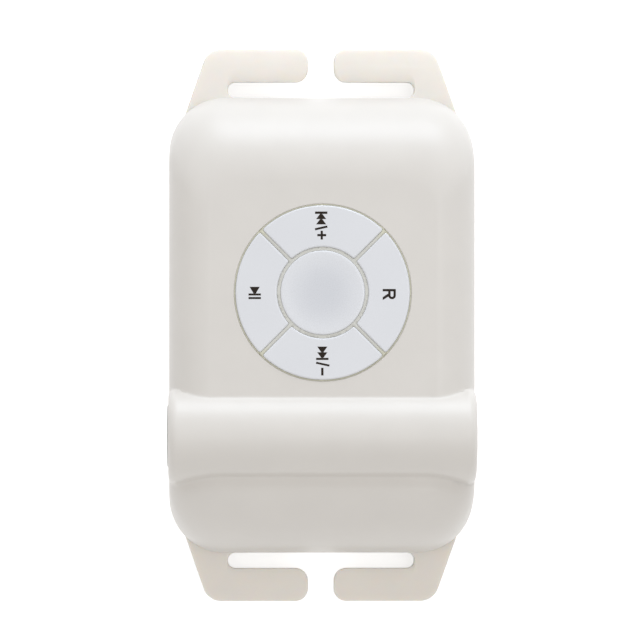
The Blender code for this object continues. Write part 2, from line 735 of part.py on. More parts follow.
def make_keypad_seal(pad):
    """One silicone sheet: flange, web, ribs in the grooves and a nib over each switch."""
    low, high = WEB_BOTTOM - FACE_HEIGHT, WEB_TOP - FACE_HEIGHT
    flange_low, flange_high = SEAL_BOTTOM - FACE_HEIGHT, SEAL_TOP - FACE_HEIGHT
    profile = [
        (0, low),
        (PAD_HOLE, low),
        (PAD_HOLE, flange_low),
        (SEAL_RADIUS, flange_low),
        (SEAL_RADIUS, flange_high),
        (PAD_HOLE, flange_high),
        (PAD_HOLE, high),
        (0, high),
    ]
    if abs(low - flange_low) < 1e-6:
        profile.pop(2)
    seal = add("keypad_seal", turned(profile, PAD_STEPS), seal_silicone(), pad)
    rib_top = RIB_TOP - FACE_HEIGHT
    middle = (low + high) / 2
    ring_in, ring_out = CENTRE_KEY_RADIUS + RIB_GAP, SECTOR_INNER - RIB_GAP
    section = [(ring_in, middle), (ring_out, middle), (ring_out, rib_top), (ring_in, rib_top)]
    combine(seal, tool("ring_rib", turned(section, RING_STEPS, loop=True), pad), "UNION")
    width = GROOVE - 2 * RIB_GAP
    start, end = (ring_in + ring_out) / 2, PAD_RADIUS
    for number in range(4):
        bar = block((end - start, width, rib_top - middle), ((start + end) / 2, 0, (rib_top + middle) / 2))
        turn = math.pi / 2 * number + math.pi / 4
        combine(seal, tool(f"diagonal_rib_{number}", bar, pad, rotation=(0, 0, turn)), "UNION")
    places = [(0, 0)] + [key_place(direction) for _, direction in RING_KEYS]
    nibs = rods(NIB_RADIUS, low - NIB_LENGTH, middle, places, 12)
    combine(seal, tool("nibs", nibs, pad), "UNION")


def make_clamp_ring(pad):
    """The ring under the seal's flange, with four legs that stand on the board."""
    high = SEAL_BOTTOM - SEAL_SEAT_GAP - FACE_HEIGHT
    low = high - CLAMP_THICKNESS
    inner = PAD_HOLE + CLAMP_CLEARANCE
    profile = [(inner, low), (SEAL_RADIUS, low), (SEAL_RADIUS, high), (inner, high)]
    ring = add("keypad_clamp_ring", turned(profile, PAD_STEPS, loop=True), black_plastic(), pad)
    reach = (inner + SEAL_RADIUS) / 2
    foot = BOARD_TOP + SOLDER_GAP - FACE_HEIGHT
    places = mirrored(reach / math.sqrt(2), reach / math.sqrt(2))
    legs = rods(CLAMP_LEG_RADIUS, foot, (low + high) / 2, places, 10)
    combine(ring, tool("clamp_legs", legs, pad), "UNION")


def make_switches(pad):
    """Five tact switches: a bored body on the board, and a plunger that moves with its key."""
    base = BOARD_TOP + SOLDER_GAP - FACE_HEIGHT
    top = SWITCH_TOP - FACE_HEIGHT
    bore_floor = base + PLUNGER_FLOOR
    plunger_bottom = bore_floor + KEY_TRAVEL + TRAVEL_SLACK
    places = [("centre", (0, 0))] + [(name, key_place(direction)) for name, direction in RING_KEYS]
    for name, (x, y) in places:
        body_shape = block((SWITCH_SIDE, SWITCH_SIDE, top - base), (0, 0, (top + base) / 2))
        body = add(f"switch_{name}", body_shape, black_plastic(), pad, (x, y, 0))
        bore = rod(PLUNGER_RADIUS + PLUNGER_CLEARANCE, bore_floor, top + SWITCH_HEIGHT)
        combine(body, tool(f"switch_bore_{name}", bore, pad, (x, y, 0)), "DIFFERENCE")
        plunger = rod(PLUNGER_RADIUS, plunger_bottom, PLUNGER_TOP - FACE_HEIGHT)
        add(f"plunger_{name}", plunger, material("plunger_plastic", (0.75, 0.74, 0.70), 0.4), pad, (x, y, 0))


def make_board():
    """The main board with its screw holes, and what is soldered to it."""
    half_length = (BOARD_HIGH - BOARD_LOW) / 2
    middle = (BOARD_HIGH + BOARD_LOW) / 2
    group = empty("board", (0, middle, BOARD_BOTTOM))
    corners = [
        (sign_x * BOARD_SIDE, sign_y * half_length, BOARD_CORNER)
        for sign_x, sign_y in ((1, 1), (-1, 1), (-1, -1), (1, -1))
    ]
    board = add("main_board", prism(rounded_polygon(corners), 0, BOARD_THICKNESS), board_laminate(), group)
    places = [(x, y - middle) for x, y in board_screw_places()]
    holes = rods(BOARD_SCREW_SHANK + SCREW_CLEARANCE, -BOARD_THICKNESS, 2 * BOARD_THICKNESS, places, 12)
    combine(board, tool("board_holes", holes, group), "DIFFERENCE")
    under = -SOLDER_GAP
    pad_y = PAD_Y - middle
    chip = material("chip_epoxy", (0.02, 0.02, 0.022), 0.35)
    ceramic = material("ceramic", (0.55, 0.42, 0.28), 0.5)
    above_processor = pad_y + (PROCESSOR_SIZE[1] + CRYSTAL_SIZE[1]) / 2 + PARTS_SPACING
    below_processor = pad_y - (PROCESSOR_SIZE[1] + INDUCTOR_SIZE[1]) / 2 - PARTS_SPACING
    below = (
        ("flash_memory", FLASH_SIZE, FLASH_LEFT, 0, chip),
        ("processor", PROCESSOR_SIZE, CHIP_COLUMN, pad_y, chip),
        ("crystal", CRYSTAL_SIZE, CHIP_COLUMN, above_processor, steel()),
        ("power_inductor", INDUCTOR_SIZE, CHIP_COLUMN, below_processor, chip),
    )
    for name, size, left, y, finish in below:
        shape = block(size, (0, 0, -size[2] / 2))
        package = add(name, shape, finish, group, (left + size[0] / 2, y, under))
        round_edges(package, size[2] / 8, 1)
    above = BOARD_THICKNESS + SOLDER_GAP
    led_reach = SWITCH_SIDE / 2 + LED_GAP
    led = add(
        "indicator_led",
        block(LED_SIZE, (0, 0, LED_SIZE[2] / 2)),
        material("led_lens", (0.85, 0.88, 0.95), 0.2),
        group,
        (led_reach + LED_SIZE[0] / 2, pad_y + led_reach + LED_SIZE[1] / 2, above),
    )
    round_edges(led, LED_SIZE[2] / 8, 1)
    pitch = CAPACITOR_SIZE[1] + PARTS_SPACING
    for number in (1, 2, 3):
        shape = block(CAPACITOR_SIZE, (0, 0, CAPACITOR_SIZE[2] / 2))
        place = (BOARD_SCREW_X, pad_y + (number - 2) * pitch, above)
        round_edges(add(f"capacitor_{number}", shape, ceramic, group, place), CAPACITOR_SIZE[2] / 8, 1)


def smooth_path(points, steps):
    """Points along a smooth curve that passes through each of the given ones."""
    ends = [2 * points[0] - points[1], *points, 2 * points[-1] - points[-2]]
    path = []
    for before, start, end, after in zip(ends, ends[1:], ends[2:], ends[3:]):
        for step in range(steps):
            t = step / steps
            path.append(0.5 * (
                2 * start
                + (end - before) * t
                + (2 * before - 5 * start + 4 * end - after) * t**2
                + (3 * start - before - 3 * end + after) * t**3
            ))
    path.append(points[-1])
    return path


def wire(name, points, finish):
    """A soldered lead along a smooth curve."""
    path = smooth_path([Vector(point) for point in points], 4)
    curve = bpy.data.curves.new(name, "CURVE")
    curve.dimensions = "3D"
    curve.bevel_depth = LEAD_RADIUS
    curve.bevel_resolution = 2
    curve.use_fill_caps = True
    spline = curve.splines.new("POLY")
    spline.points.add(len(path) - 1)
    for target, point in zip(spline.points, path):
        target.co = (*point, 1.0)
    curve.materials.append(finish)
    made = bpy.data.objects.new(name, curve)
    bpy.context.scene.collection.objects.link(made)


def make_battery():
    """A pouch cell on an adhesive pad, its protection board, and two leads up to the main board."""
    group = empty("battery", (0, 0, BATTERY_BOTTOM))
    thickness = BATTERY_TOP - BATTERY_BOTTOM
    width, length = 2 * BATTERY_SIDE, 2 * BATTERY_END
    pouch = add(
        "battery_cell",
        block((width, length, thickness), (0, 0, thickness / 2)),
        material("pouch_foil", (0.70, 0.71, 0.73), 0.35, 0.8),
        group,
    )
    round_edges(pouch, BATTERY_EDGE, 2)
    pad_height = -BATTERY_SEAT_GAP - BATTERY_PAD_THICKNESS / 2
    size = (width - 2 * BATTERY_PAD_MARGIN, length - 2 * BATTERY_PAD_MARGIN, BATTERY_PAD_THICKNESS)
    foam = material("foam_pad", (0.08, 0.08, 0.085), 0.9)
    add("battery_pad", block(size, (0, 0, pad_height)), foam, group)
    strip_y = BATTERY_END + BATTERY_SEAT_GAP + PROTECTION_BOARD_THICKNESS / 2
    strip = block((PROTECTION_BOARD_WIDTH, PROTECTION_BOARD_THICKNESS, PROTECTION_BOARD_DEPTH))
    add("battery_protection_board", strip, board_laminate(), group, (0, strip_y, thickness / 2))
    face_y = strip_y + PROTECTION_BOARD_THICKNESS / 2 + BATTERY_SEAT_GAP
    start_z = BATTERY_BOTTOM + thickness / 2
    near_x = CHIP_COLUMN + LEAD_RADIUS
    for name, x, colour in (
        ("red", near_x, (0.60, 0.03, 0.02)),
        ("black", near_x + LEAD_SPACING, (0.02, 0.02, 0.02)),
    ):
        points = (
            (x, face_y, start_z),
            (x, face_y + LEAD_RADIUS, start_z),
            (x, face_y + 3 * LEAD_RADIUS, start_z + 2 * LEAD_RADIUS),
            (x, face_y + 3 * LEAD_RADIUS, UNDERSIDE - LEAD_RADIUS),
            (x, face_y + 3 * LEAD_RADIUS, UNDERSIDE),
        )
        wire(f"battery_lead_{name}", points, material(f"{name}_insulation", colour, 0.5))


def make_jack():
    """The headphone jack: a dark collar in the barrel's end, an O-ring, a housing, contacts and a flex."""
    group = empty("jack", (-BARREL_HALF, BARREL_Y, BARREL_Z), (0, -math.pi / 2, 0))
    flange_back = COLLAR_PROUD - COLLAR_FLANGE
    nose_end = COLLAR_GAP - JACK_WALL
    collar = [
        (JACK_BORE, nose_end),
        (COLLAR_NOSE, nose_end),
        (COLLAR_NOSE, flange_back),
        (COLLAR_RADIUS, flange_back),
        (COLLAR_RADIUS, COLLAR_PROUD - COLLAR_EDGE),
        (COLLAR_RADIUS - COLLAR_EDGE, COLLAR_PROUD),
        (JACK_LEAD_IN + COLLAR_EDGE, COLLAR_PROUD),
        (JACK_LEAD_IN, COLLAR_PROUD - COLLAR_EDGE),
        (JACK_LEAD_IN, COLLAR_PROUD - JACK_LEAD_IN_DEPTH),
        (JACK_BORE, COLLAR_PROUD - JACK_LEAD_IN_DEPTH),
    ]
    dark = material("collar_metal", (0.10, 0.10, 0.11), 0.35, 0.6)
    add("jack_collar", turned(collar, RING_STEPS, loop=True), dark, group)
    ring_radius = COLLAR_NOSE + O_RING_WIRE + COLLAR_GAP / 2
    ring_height = flange_back - O_RING_WIRE - COLLAR_GAP
    wire_section = [
        (ring_radius + O_RING_WIRE * math.cos(turn), ring_height + O_RING_WIRE * math.sin(turn))
        for turn in (math.pi / 3 * step for step in range(6))
    ]
    add("jack_o_ring", turned(wire_section, RING_STEPS, loop=True), gasket_rubber(), group)
    front = -JACK_WALL - COLLAR_GAP
    back = front - HOUSING_LENGTH
    side = 2 * HOUSING_HALF_SIDE
    body = block((side, side, HOUSING_LENGTH), (0, 0, (front + back) / 2))
    housing = add("jack_housing", body, black_plastic(), group)
    bore = rod(JACK_BORE, back + HOUSING_END, front + HOUSING_END, 20)
    combine(housing, tool("jack_bore", bore, group), "DIFFERENCE")
    under = -HOUSING_HALF_SIDE - COLLAR_GAP - CONTACT_THICKNESS / 2
    strip_length = HOUSING_HALF_SIDE + CONTACT_TAIL
    for number, name in enumerate(("sleeve", "microphone", "ring", "tip")):
        along = front - CONTACT_FIRST - CONTACT_PITCH * number
        shape = block((CONTACT_THICKNESS, strip_length, CONTACT_WIDTH), (0, strip_length / 2, 0))
        add(f"jack_contact_{name}", shape, contact_metal(), group, (under, 0, along))
    make_jack_flex()


def make_jack_flex():
    """The flat cable from the jack's contacts to the main board's underside."""
    contact_top = BARREL_Z - HOUSING_HALF_SIDE - COLLAR_GAP
    low = contact_top + COLLAR_GAP
    high = UNDERSIDE - FLEX_THICKNESS
    start = BARREL_Y + HOUSING_HALF_SIDE + COLLAR_GAP
    path = [(start, low), (start + CONTACT_TAIL, low), (BOARD_LOW, high), (BOARD_LOW + FLEX_ON_BOARD, high)]
    outline = path + [(y, z + FLEX_THICKNESS) for y, z in reversed(path)]
    first = -BARREL_HALF + JACK_WALL + COLLAR_GAP + CONTACT_FIRST - CONTACT_WIDTH / 2 - FLEX_MARGIN
    width = 3 * CONTACT_PITCH + CONTACT_WIDTH + 2 * FLEX_MARGIN
    # The outline is drawn in (y, z) and extruded along X.
    shape = prism(outline, 0, width)
    amber = material("flex_film", (0.65, 0.35, 0.08), 0.35)
    add("jack_flex_cable", shape, amber, None, (first, 0, 0), (math.pi / 2, 0, math.pi / 2))


def main():
    for existing in list(bpy.data.objects):
        bpy.data.objects.remove(existing)
    make_front_shell()
    make_rear_shell()
    make_gasket()
    make_screws()
    pad = empty("keypad", (0, PAD_Y, FACE_HEIGHT))
    make_keys(pad)
    make_keypad_seal(pad)
    make_clamp_ring(pad)
    make_switches(pad)
    make_board()
    make_battery()
    make_jack()


main()
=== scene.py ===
"""The looks of a waterproof audio player with strap lugs, a round keypad and a headphone jack in a barrel.

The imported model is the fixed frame. It lies on its back on z = 0, with its face along +Z, its strap along Y
and its jack opening towards -X. Each operator makes one piece or one group of like pieces, in metres.
"""

import json
import math

import bmesh
import bpy
import numpy as np
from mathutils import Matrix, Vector

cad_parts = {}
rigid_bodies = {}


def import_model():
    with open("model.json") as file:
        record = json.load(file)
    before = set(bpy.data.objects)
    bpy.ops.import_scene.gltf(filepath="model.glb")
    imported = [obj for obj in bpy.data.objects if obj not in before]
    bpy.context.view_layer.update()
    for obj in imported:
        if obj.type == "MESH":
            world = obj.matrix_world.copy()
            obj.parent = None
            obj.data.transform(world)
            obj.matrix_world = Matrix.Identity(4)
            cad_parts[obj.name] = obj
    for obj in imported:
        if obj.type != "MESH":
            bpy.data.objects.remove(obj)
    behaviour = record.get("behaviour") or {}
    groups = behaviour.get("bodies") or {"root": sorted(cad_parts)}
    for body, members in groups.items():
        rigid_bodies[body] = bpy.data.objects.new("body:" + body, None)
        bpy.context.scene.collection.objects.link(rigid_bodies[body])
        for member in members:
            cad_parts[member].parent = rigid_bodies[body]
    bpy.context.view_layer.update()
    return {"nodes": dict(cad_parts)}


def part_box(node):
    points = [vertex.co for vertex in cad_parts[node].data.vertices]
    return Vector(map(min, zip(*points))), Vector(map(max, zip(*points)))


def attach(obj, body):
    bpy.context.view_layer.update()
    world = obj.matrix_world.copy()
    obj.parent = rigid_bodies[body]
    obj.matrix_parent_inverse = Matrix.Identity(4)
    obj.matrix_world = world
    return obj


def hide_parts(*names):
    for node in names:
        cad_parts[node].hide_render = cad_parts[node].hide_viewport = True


bl_info = {
    "name": "Digital Audio Player",
    "version": (1, 0, 0),
    "blender": (4, 5, 0),
    "location": "3D View > Sidebar > Player",
    "description": "Builds the pieces, finishes and stage of a small audio player",
    "category": "Object",
}

for leftover in list(bpy.data.objects):
    bpy.data.objects.remove(leftover)
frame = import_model()


def middle_of(node):
    """The centre of a node's box."""
    return sum(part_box(node), Vector()) / 2


FRONT_LOW, FRONT_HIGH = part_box("front_shell")
REAR_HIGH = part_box("rear_shell")[1]
BODY_SIDE = REAR_HIGH.x
BODY_END = FRONT_HIGH.y
BARREL_HALF = FRONT_HIGH.x
BARREL_AXIS = middle_of("jack_housing")
BARREL_RADIUS = FRONT_HIGH.z - BARREL_AXIS.z
COLLAR_FACE, COLLAR_INNER_END = (corner.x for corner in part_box("jack_collar"))
PAD_CENTRE = middle_of("keypad_seal")
PAD_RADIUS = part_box("key_repeat")[1].x
KEY_BOTTOM, KEY_TOP = (corner.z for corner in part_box("key_repeat"))
CENTRE_KEY_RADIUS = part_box("key_centre")[1].x
SCREW_LOW, SCREW_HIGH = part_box("case_screw_1")

# The ring's keys: their direction from the pad's centre in degrees, and the body that each moves with.
RING_KEYS = {"repeat": 0, "previous": 90, "play_pause": 180, "next": 270}

# The finish of each CAD node whose shape is right as it is.
CARRIED_NODES = {
    "gasket_rubber": ("case_gasket", "jack_o_ring"),
    "black_plastic": (
        "keypad_clamp_ring",
        "jack_housing",
        *(f"switch_{name}" for name in ("centre", *RING_KEYS)),
    ),
    "plunger_plastic": tuple(f"plunger_{name}" for name in ("centre", *RING_KEYS)),
    "board_laminate": ("main_board", "battery_protection_board"),
    "chip_epoxy": ("flash_memory", "processor", "power_inductor"),
    "ceramic": ("capacitor_1", "capacitor_2", "capacitor_3"),
    "steel": ("crystal", "board_screw_1", "board_screw_2", "board_screw_3", "board_screw_4"),
    "led_lens": ("indicator_led",),
    "pouch_foil": ("battery_cell",),
    "foam_pad": ("battery_pad",),
    "red_insulation": ("battery_lead_red",),
    "black_insulation": ("battery_lead_black",),
    "contact_metal": tuple(f"jack_contact_{name}" for name in ("sleeve", "microphone", "ring", "tip")),
    "flex_film": ("jack_flex_cable",),
}


def number(name, description, default, **kind):
    return bpy.props.FloatProperty(name=name, description=description, default=default, **kind)


def length(name, description, default):
    return number(name, description, default, min=0.0, precision=5, subtype="DISTANCE", unit="LENGTH")


def angle(name, description, degrees):
    return number(name, description, math.radians(degrees), subtype="ANGLE", unit="ROTATION")


def share(name, description, default):
    return number(name, description, default, min=0.0, max=1.0, subtype="FACTOR")


def power(name, description, default):
    return number(name, description, default, min=0.0, subtype="POWER", unit="POWER")


def count(name, description, default):
    return bpy.props.IntProperty(name=name, description=description, default=default, min=4)


def colour(name, description, default):
    return bpy.props.FloatVectorProperty(
        name=name, description=description, default=default, size=3, min=0.0, max=1.0, subtype="COLOR"
    )


class CaseSettings(bpy.types.PropertyGroup):
    """Sizes of the two shells that don't follow from the frame."""

    face_height: length("Face height", "Height of the flat face above the back", 0.0130)
    body_corner: length("Body corner", "Radius of the case's corners in plan", 0.0060)
    face_corner: length("Face corner", "Radius of the flat face's corners in plan", 0.0030)
    end_rounding: length("End rounding", "Radius that rolls the face down to each end", 0.0093)
    side_rounding: length("Side rounding", "Radius that rolls the face down to each side", 0.0044)
    back_rounding: length("Back rounding", "Radius round the edge of the back", 0.0016)
    wall: length("Wall", "Thickness of the shells' walls", 0.0013)
    floor: length("Floor", "Thickness of the back", 0.0012)
    rim_edge: length("Rim edge", "Radius on the shells' rims at the parting line", 0.0001)
    barrel_edge: length("Barrel edge", "Radius round the barrel's ends", 0.00095)
    barrel_trim: length("Barrel trim", "How much smaller the barrel is than its box allows", 0.00006)
    barrel_shift: length("Barrel shift", "How far the barrel stands below the jack's axis", 0.00006)
    barrel_fillet: length("Barrel fillet", "Width of the blend where the barrel meets the face", 0.00014)
    crease: length("Crease", "Depth of the crease along the barrel's lower side", 0.00052)
    crease_width: length("Crease width", "How far the crease spreads over the case", 0.0008)
    crease_rise: length("Crease rise", "How far the crease climbs up the barrel", 0.00044)
    crease_end: length("Crease end", "Way over which the crease fades at the barrel's ends", 0.0021)
    hole_gap: length("Keypad gap", "Gap between the ring keys and the face", 0.00015)
    hole_edge: length("Keypad hole edge", "Radius on the edge of the keypad's hole", 0.00012)
    gasket_lip: length("Gasket lip", "Width of the rear rim outside the gasket", 0.0005)
    gasket_height: length("Gasket height", "Depth of the gasket's rebate", 0.0007)
    columns: count("Columns", "Points round each ring of the front shell", 400)
    end_rows: count("End rows", "Rings of the front shell from its rim to the flat face", 66)
    face_rows: count("Face rows", "Rings of the front shell across the barrel's part of the face", 36)


class LugSettings(bpy.types.PropertyGroup):
    """Sizes of the strap lugs."""

    tip_span: length("Tip span", "Width across a pair of lugs at their outer ends", 0.02455)
    flare: angle("Flare", "Angle by which a lug's outer edge widens towards the case", 19)
    thickness: length("Thickness", "Thickness of a lug", 0.0020)
    drop: length("Drop", "How far a lug's root stands below the parting line", 0.0004)
    root_slope: angle("Root slope", "Slope of a lug where it leaves the case", 12)
    bend_radius: length("Bend radius", "Radius by which a lug bends down", 0.0300)
    edge: length("Edge", "Depth of the rounding on a lug's edges", 0.0004)
    edge_width: length("Edge width", "Width of the rounding on a lug's edges", 0.00015)
    bar_slope: length("Bar slope", "Width of the soft slope on a lug's bar along the slot", 0.0015)
    bar_fall: length("Bar fall", "Depth of that slope at the slot", 0.0002)
    corner: length("Corner", "Radius of a lug's outer corner in plan", 0.0020)
    end_corner: length("End corner", "Radius of a lug's free end in plan", 0.00135)
    slot_width: length("Slot width", "Width of the strap's slot", 0.00175)
    slot_length: length("Slot length", "Length of the strap's slot", 0.0202)
    slot_mouth: length("Slot mouth", "Gap between the free ends of two lugs", 0.0028)
    slot_corner: length("Slot corner", "Radius at the ends of the slot", 0.0008)


class KeypadSettings(bpy.types.PropertyGroup):
    """Sizes of the keys and their printed legends."""

    groove: length("Groove", "Width of the grooves between the keys", 0.00036)
    edge: length("Key edge", "Radius on the keys' upper edges", 0.00018)
    corner: length("Key corner", "Radius of a ring key's corners in plan", 0.00024)
    dish: length("Dish", "Depth of the centre key's hollow", 0.00005)
    rib_gap: length("Rib gap", "Gap between the seal's ribs and the keys", 0.00001)
    rib_drop: length("Rib drop", "How far the seal's ribs stand below the keys' tops", 0.00011)
    lip_drop: length("Lip drop", "How far the seal's lip stands below the keys' tops", 0.00022)
    print_height: length("Print height", "How far the printed legends stand above the keys", 0.000006)
    stroke: length("Stroke", "Width of the legends' lines", 0.00025)


class JackSettings(bpy.types.PropertyGroup):
    """Sizes of the jack's collar."""

    collar_radius: length("Collar radius", "Radius of the collar's flange", 0.00335)
    collar_flange: length("Collar flange", "Thickness of the collar's flange", 0.0006)
    collar_nose: length("Collar nose", "Radius of the collar behind its flange", 0.0029)
    lead_in: length("Lead-in", "Radius of the recess round the plug's hole", 0.0026)
    lead_in_depth: length("Lead-in depth", "Depth of the recess round the plug's hole", 0.0009)
    bore: length("Bore", "Radius of the plug's hole", 0.0018)
    edge: length("Collar edge", "Radius on the collar's edges", 0.00015)
    gap: length("Gap", "Gap round the collar", 0.0001)
    set_in: length("Set-in", "How far the collar's face is set in from its box", 0.00005)


class ScrewSettings(bpy.types.PropertyGroup):
    """Sizes of the case's screws."""

    head: length("Head radius", "Radius of a screw's head", 0.0013)
    head_height: length("Head height", "Height of a screw's head", 0.0006)
    shank: length("Shank radius", "Radius of a screw's shank", 0.0007)
    crown: length("Crown", "How far a head's middle stands above its edge", 0.00012)
    cross: length("Cross width", "Width of the cross recess's arms", 0.0004)
    clearance: length("Clearance", "Gap round a screw's head and shank", 0.0002)
    post: length("Post radius", "Radius of the posts that the screws pass through", 0.0022)


class FinishSettings(bpy.types.PropertyGroup):
    """Colours of the finishes."""

    front_plastic: colour("Front plastic", "Warm white of the front shell", (0.698, 0.664, 0.621))
    rear_plastic: colour("Rear plastic", "Cream of the rear shell and lugs", (0.788, 0.742, 0.680))
    key_plastic: colour("Key plastic", "Cool white of the ring keys", (0.725, 0.730, 0.754))
    centre_key_plastic: colour("Centre key plastic", "White of the centre key", (0.738, 0.743, 0.765))
    print_ink: colour("Print ink", "Dark brown of the printed legends", (0.020, 0.013, 0.009))
    collar_metal: colour("Collar metal", "Satin metal of the jack's collar", (0.300, 0.293, 0.280))
    seal_silicone: colour("Seal silicone", "Milky grey of the seal in the grooves", (0.640, 0.622, 0.490))
    gasket_rubber: colour("Gasket rubber", "Dark grey of the gasket and O-ring", (0.060, 0.062, 0.065))
    black_plastic: colour("Black plastic", "Black of the inner mouldings", (0.025, 0.025, 0.028))
    plunger_plastic: colour("Plunger plastic", "Pale plastic of the switches' plungers", (0.62, 0.60, 0.54))
    board_laminate: colour("Board laminate", "Green of the circuit boards", (0.020, 0.140, 0.060))
    chip_epoxy: colour("Chip epoxy", "Black of the chips' packages", (0.018, 0.018, 0.020))
    ceramic: colour("Ceramic", "Tan of the ceramic capacitors", (0.42, 0.30, 0.18))
    steel: colour("Steel", "Plated steel of the screws and the crystal's can", (0.58, 0.58, 0.60))
    led_lens: colour("Lens", "Milky lens of the indicator", (0.80, 0.83, 0.90))
    pouch_foil: colour("Pouch foil", "Laminated foil of the battery", (0.66, 0.67, 0.70))
    foam_pad: colour("Foam pad", "Black foam under the battery", (0.035, 0.035, 0.038))
    red_insulation: colour("Red insulation", "Insulation of the positive lead", (0.50, 0.020, 0.015))
    black_insulation: colour("Black insulation", "Insulation of the negative lead", (0.018, 0.018, 0.018))
    contact_metal: colour("Contact metal", "Gilded spring contacts", (0.83, 0.62, 0.28))
    flex_film: colour("Flex film", "Amber film of the flat cable", (0.50, 0.22, 0.035))


class StageSettings(bpy.types.PropertyGroup):
    """The floor, the lights and the camera."""

    floor_colour: colour("Floor colour", "Pale floor under the player", (0.90, 0.90, 0.90))
    floor_lift: share("Floor lift", "Glow of the floor to the camera, so that it stays white", 0.60)
    floor_radius: length("Floor radius", "Radius of the floor", 1.5)
    surround: share("Surround", "Strength of the white surroundings as a light", 0.865)
    surround_sides: share("Surround sides", "How much weaker the surroundings are at the sides", 0.38)
    side_power: power("Side light", "Power of the softbox beyond the top end", 3.7)
    side_width: length("Side light width", "Width of the softbox beyond the top end", 0.60)
    side_height: length("Side light height", "Height of the softbox beyond the top end", 0.42)
    side_distance: length("Side light distance", "Distance of the softbox beyond the top end", 0.80)
    side_rise: angle("Side light rise", "Height of that softbox above the floor, as an angle", 16.5)
    side_turn: angle("Side light turn", "Turn of that softbox towards the player's right", 8)
    side_colour: colour("Side light colour", "Cool white of that softbox", (0.82, 0.90, 1.0))
    over_power: power("Overhead light", "Power of the softbox overhead", 0.55)
    over_width: length("Overhead light width", "Width of the softbox overhead", 0.20)
    over_distance: length("Overhead light distance", "Height of the softbox overhead", 0.90)
    over_shift: length("Overhead light shift", "How far that softbox stands to the player's right", 0.22)
    lens: number("Lens", "Focal length in millimetres", 300.0, min=1.0, subtype="DISTANCE_CAMERA")
    view_width: length("View width", "Width that the camera takes in at the player's middle", 0.06912)
    target: bpy.props.FloatVectorProperty(
        name="Target",
        description="The point that the camera looks at",
        default=(-0.00017, 0.00057, 0.0065),
        precision=5,
        subtype="TRANSLATION",
        unit="LENGTH",
    )
    lean: angle("Lean", "How far the camera stands towards the jack's side", 1.1)


class PlayerSettings(bpy.types.PropertyGroup):
    """Everything that a user would change."""

    case: bpy.props.PointerProperty(type=CaseSettings)
    lugs: bpy.props.PointerProperty(type=LugSettings)
    keypad: bpy.props.PointerProperty(type=KeypadSettings)
    jack: bpy.props.PointerProperty(type=JackSettings)
    screws: bpy.props.PointerProperty(type=ScrewSettings)
    finishes: bpy.props.PointerProperty(type=FinishSettings)
    stage: bpy.props.PointerProperty(type=StageSettings)


def settings():
    return bpy.context.scene.audio_player


# Materials


def wired(node, *values, **named):
    """A node with its sockets set or fed. Names in small letters are the node's own settings."""
    sockets = dict(enumerate(values))
    for name, value in named.items():
        if name[0].islower():
            setattr(node, name, value)
        else:
            sockets[name.replace("_", " ")] = value
    for name, value in sockets.items():
        if isinstance(value, bpy.types.NodeSocket):
            node.id_data.links.new(value, node.inputs[name])
        else:
            node.inputs[name].default_value = value
    return node


def noise(nodes, place, size, detail, roughness):
    """Soft noise whose spots are about that size, in metres."""
    node = nodes.new("ShaderNodeTexNoise")
    return wired(node, Vector=place, Scale=1 / size, Detail=detail, Roughness=roughness).outputs["Fac"]


def ranged(nodes, value, old, new, **kind):
    """A value carried from an old range to a new one, each given as (low, high)."""
    node = wired(nodes.new("ShaderNodeMapRange"), Value=value, From_Min=old[0], From_Max=old[1], **kind)
    return wired(node, To_Min=new[0], To_Max=new[1]).outputs["Result"]


def worked_out(nodes, operation, first, second):
    return wired(nodes.new("ShaderNodeMath"), first, second, operation=operation).outputs[0]


def mixed(nodes, factor, first, second, blend_type="MIX"):
    """Two colours mixed."""
    node = wired(nodes.new("ShaderNodeMix"), data_type="RGBA", blend_type=blend_type)
    return wired(node, Factor=factor, A=first, B=second).outputs["Result"]


def middle_tint_and_painted_shade(nodes, hue, start, reach, tint):
    """A colour tinted round the keypad's middle: fully up to one radius, and not at all from another."""
    # On the centre key this tint is painted shade: the key is darker towards the middle of its hollow.
    place = nodes.new("ShaderNodeTexCoord").outputs["Object"]
    middle = (PAD_CENTRE.x, PAD_CENTRE.y, KEY_TOP)
    away = wired(nodes.new("ShaderNodeVectorMath"), place, middle, operation="DISTANCE").outputs["Value"]
    ease = ranged(nodes, away, (start, reach), (1.0, 0.0), interpolation_type="SMOOTHSTEP")
    return mixed(nodes, ease, hue, (*tint, 1.0), "MULTIPLY")


# A noise mostly keeps to this part of its range.
NOISE_RANGE = (0.3, 0.7)
UNEVEN_GLOSS = 0.03
COAT_ROUGHNESS = 0.15
MILKY_SPREAD = (1.0, 0.75, 0.5)


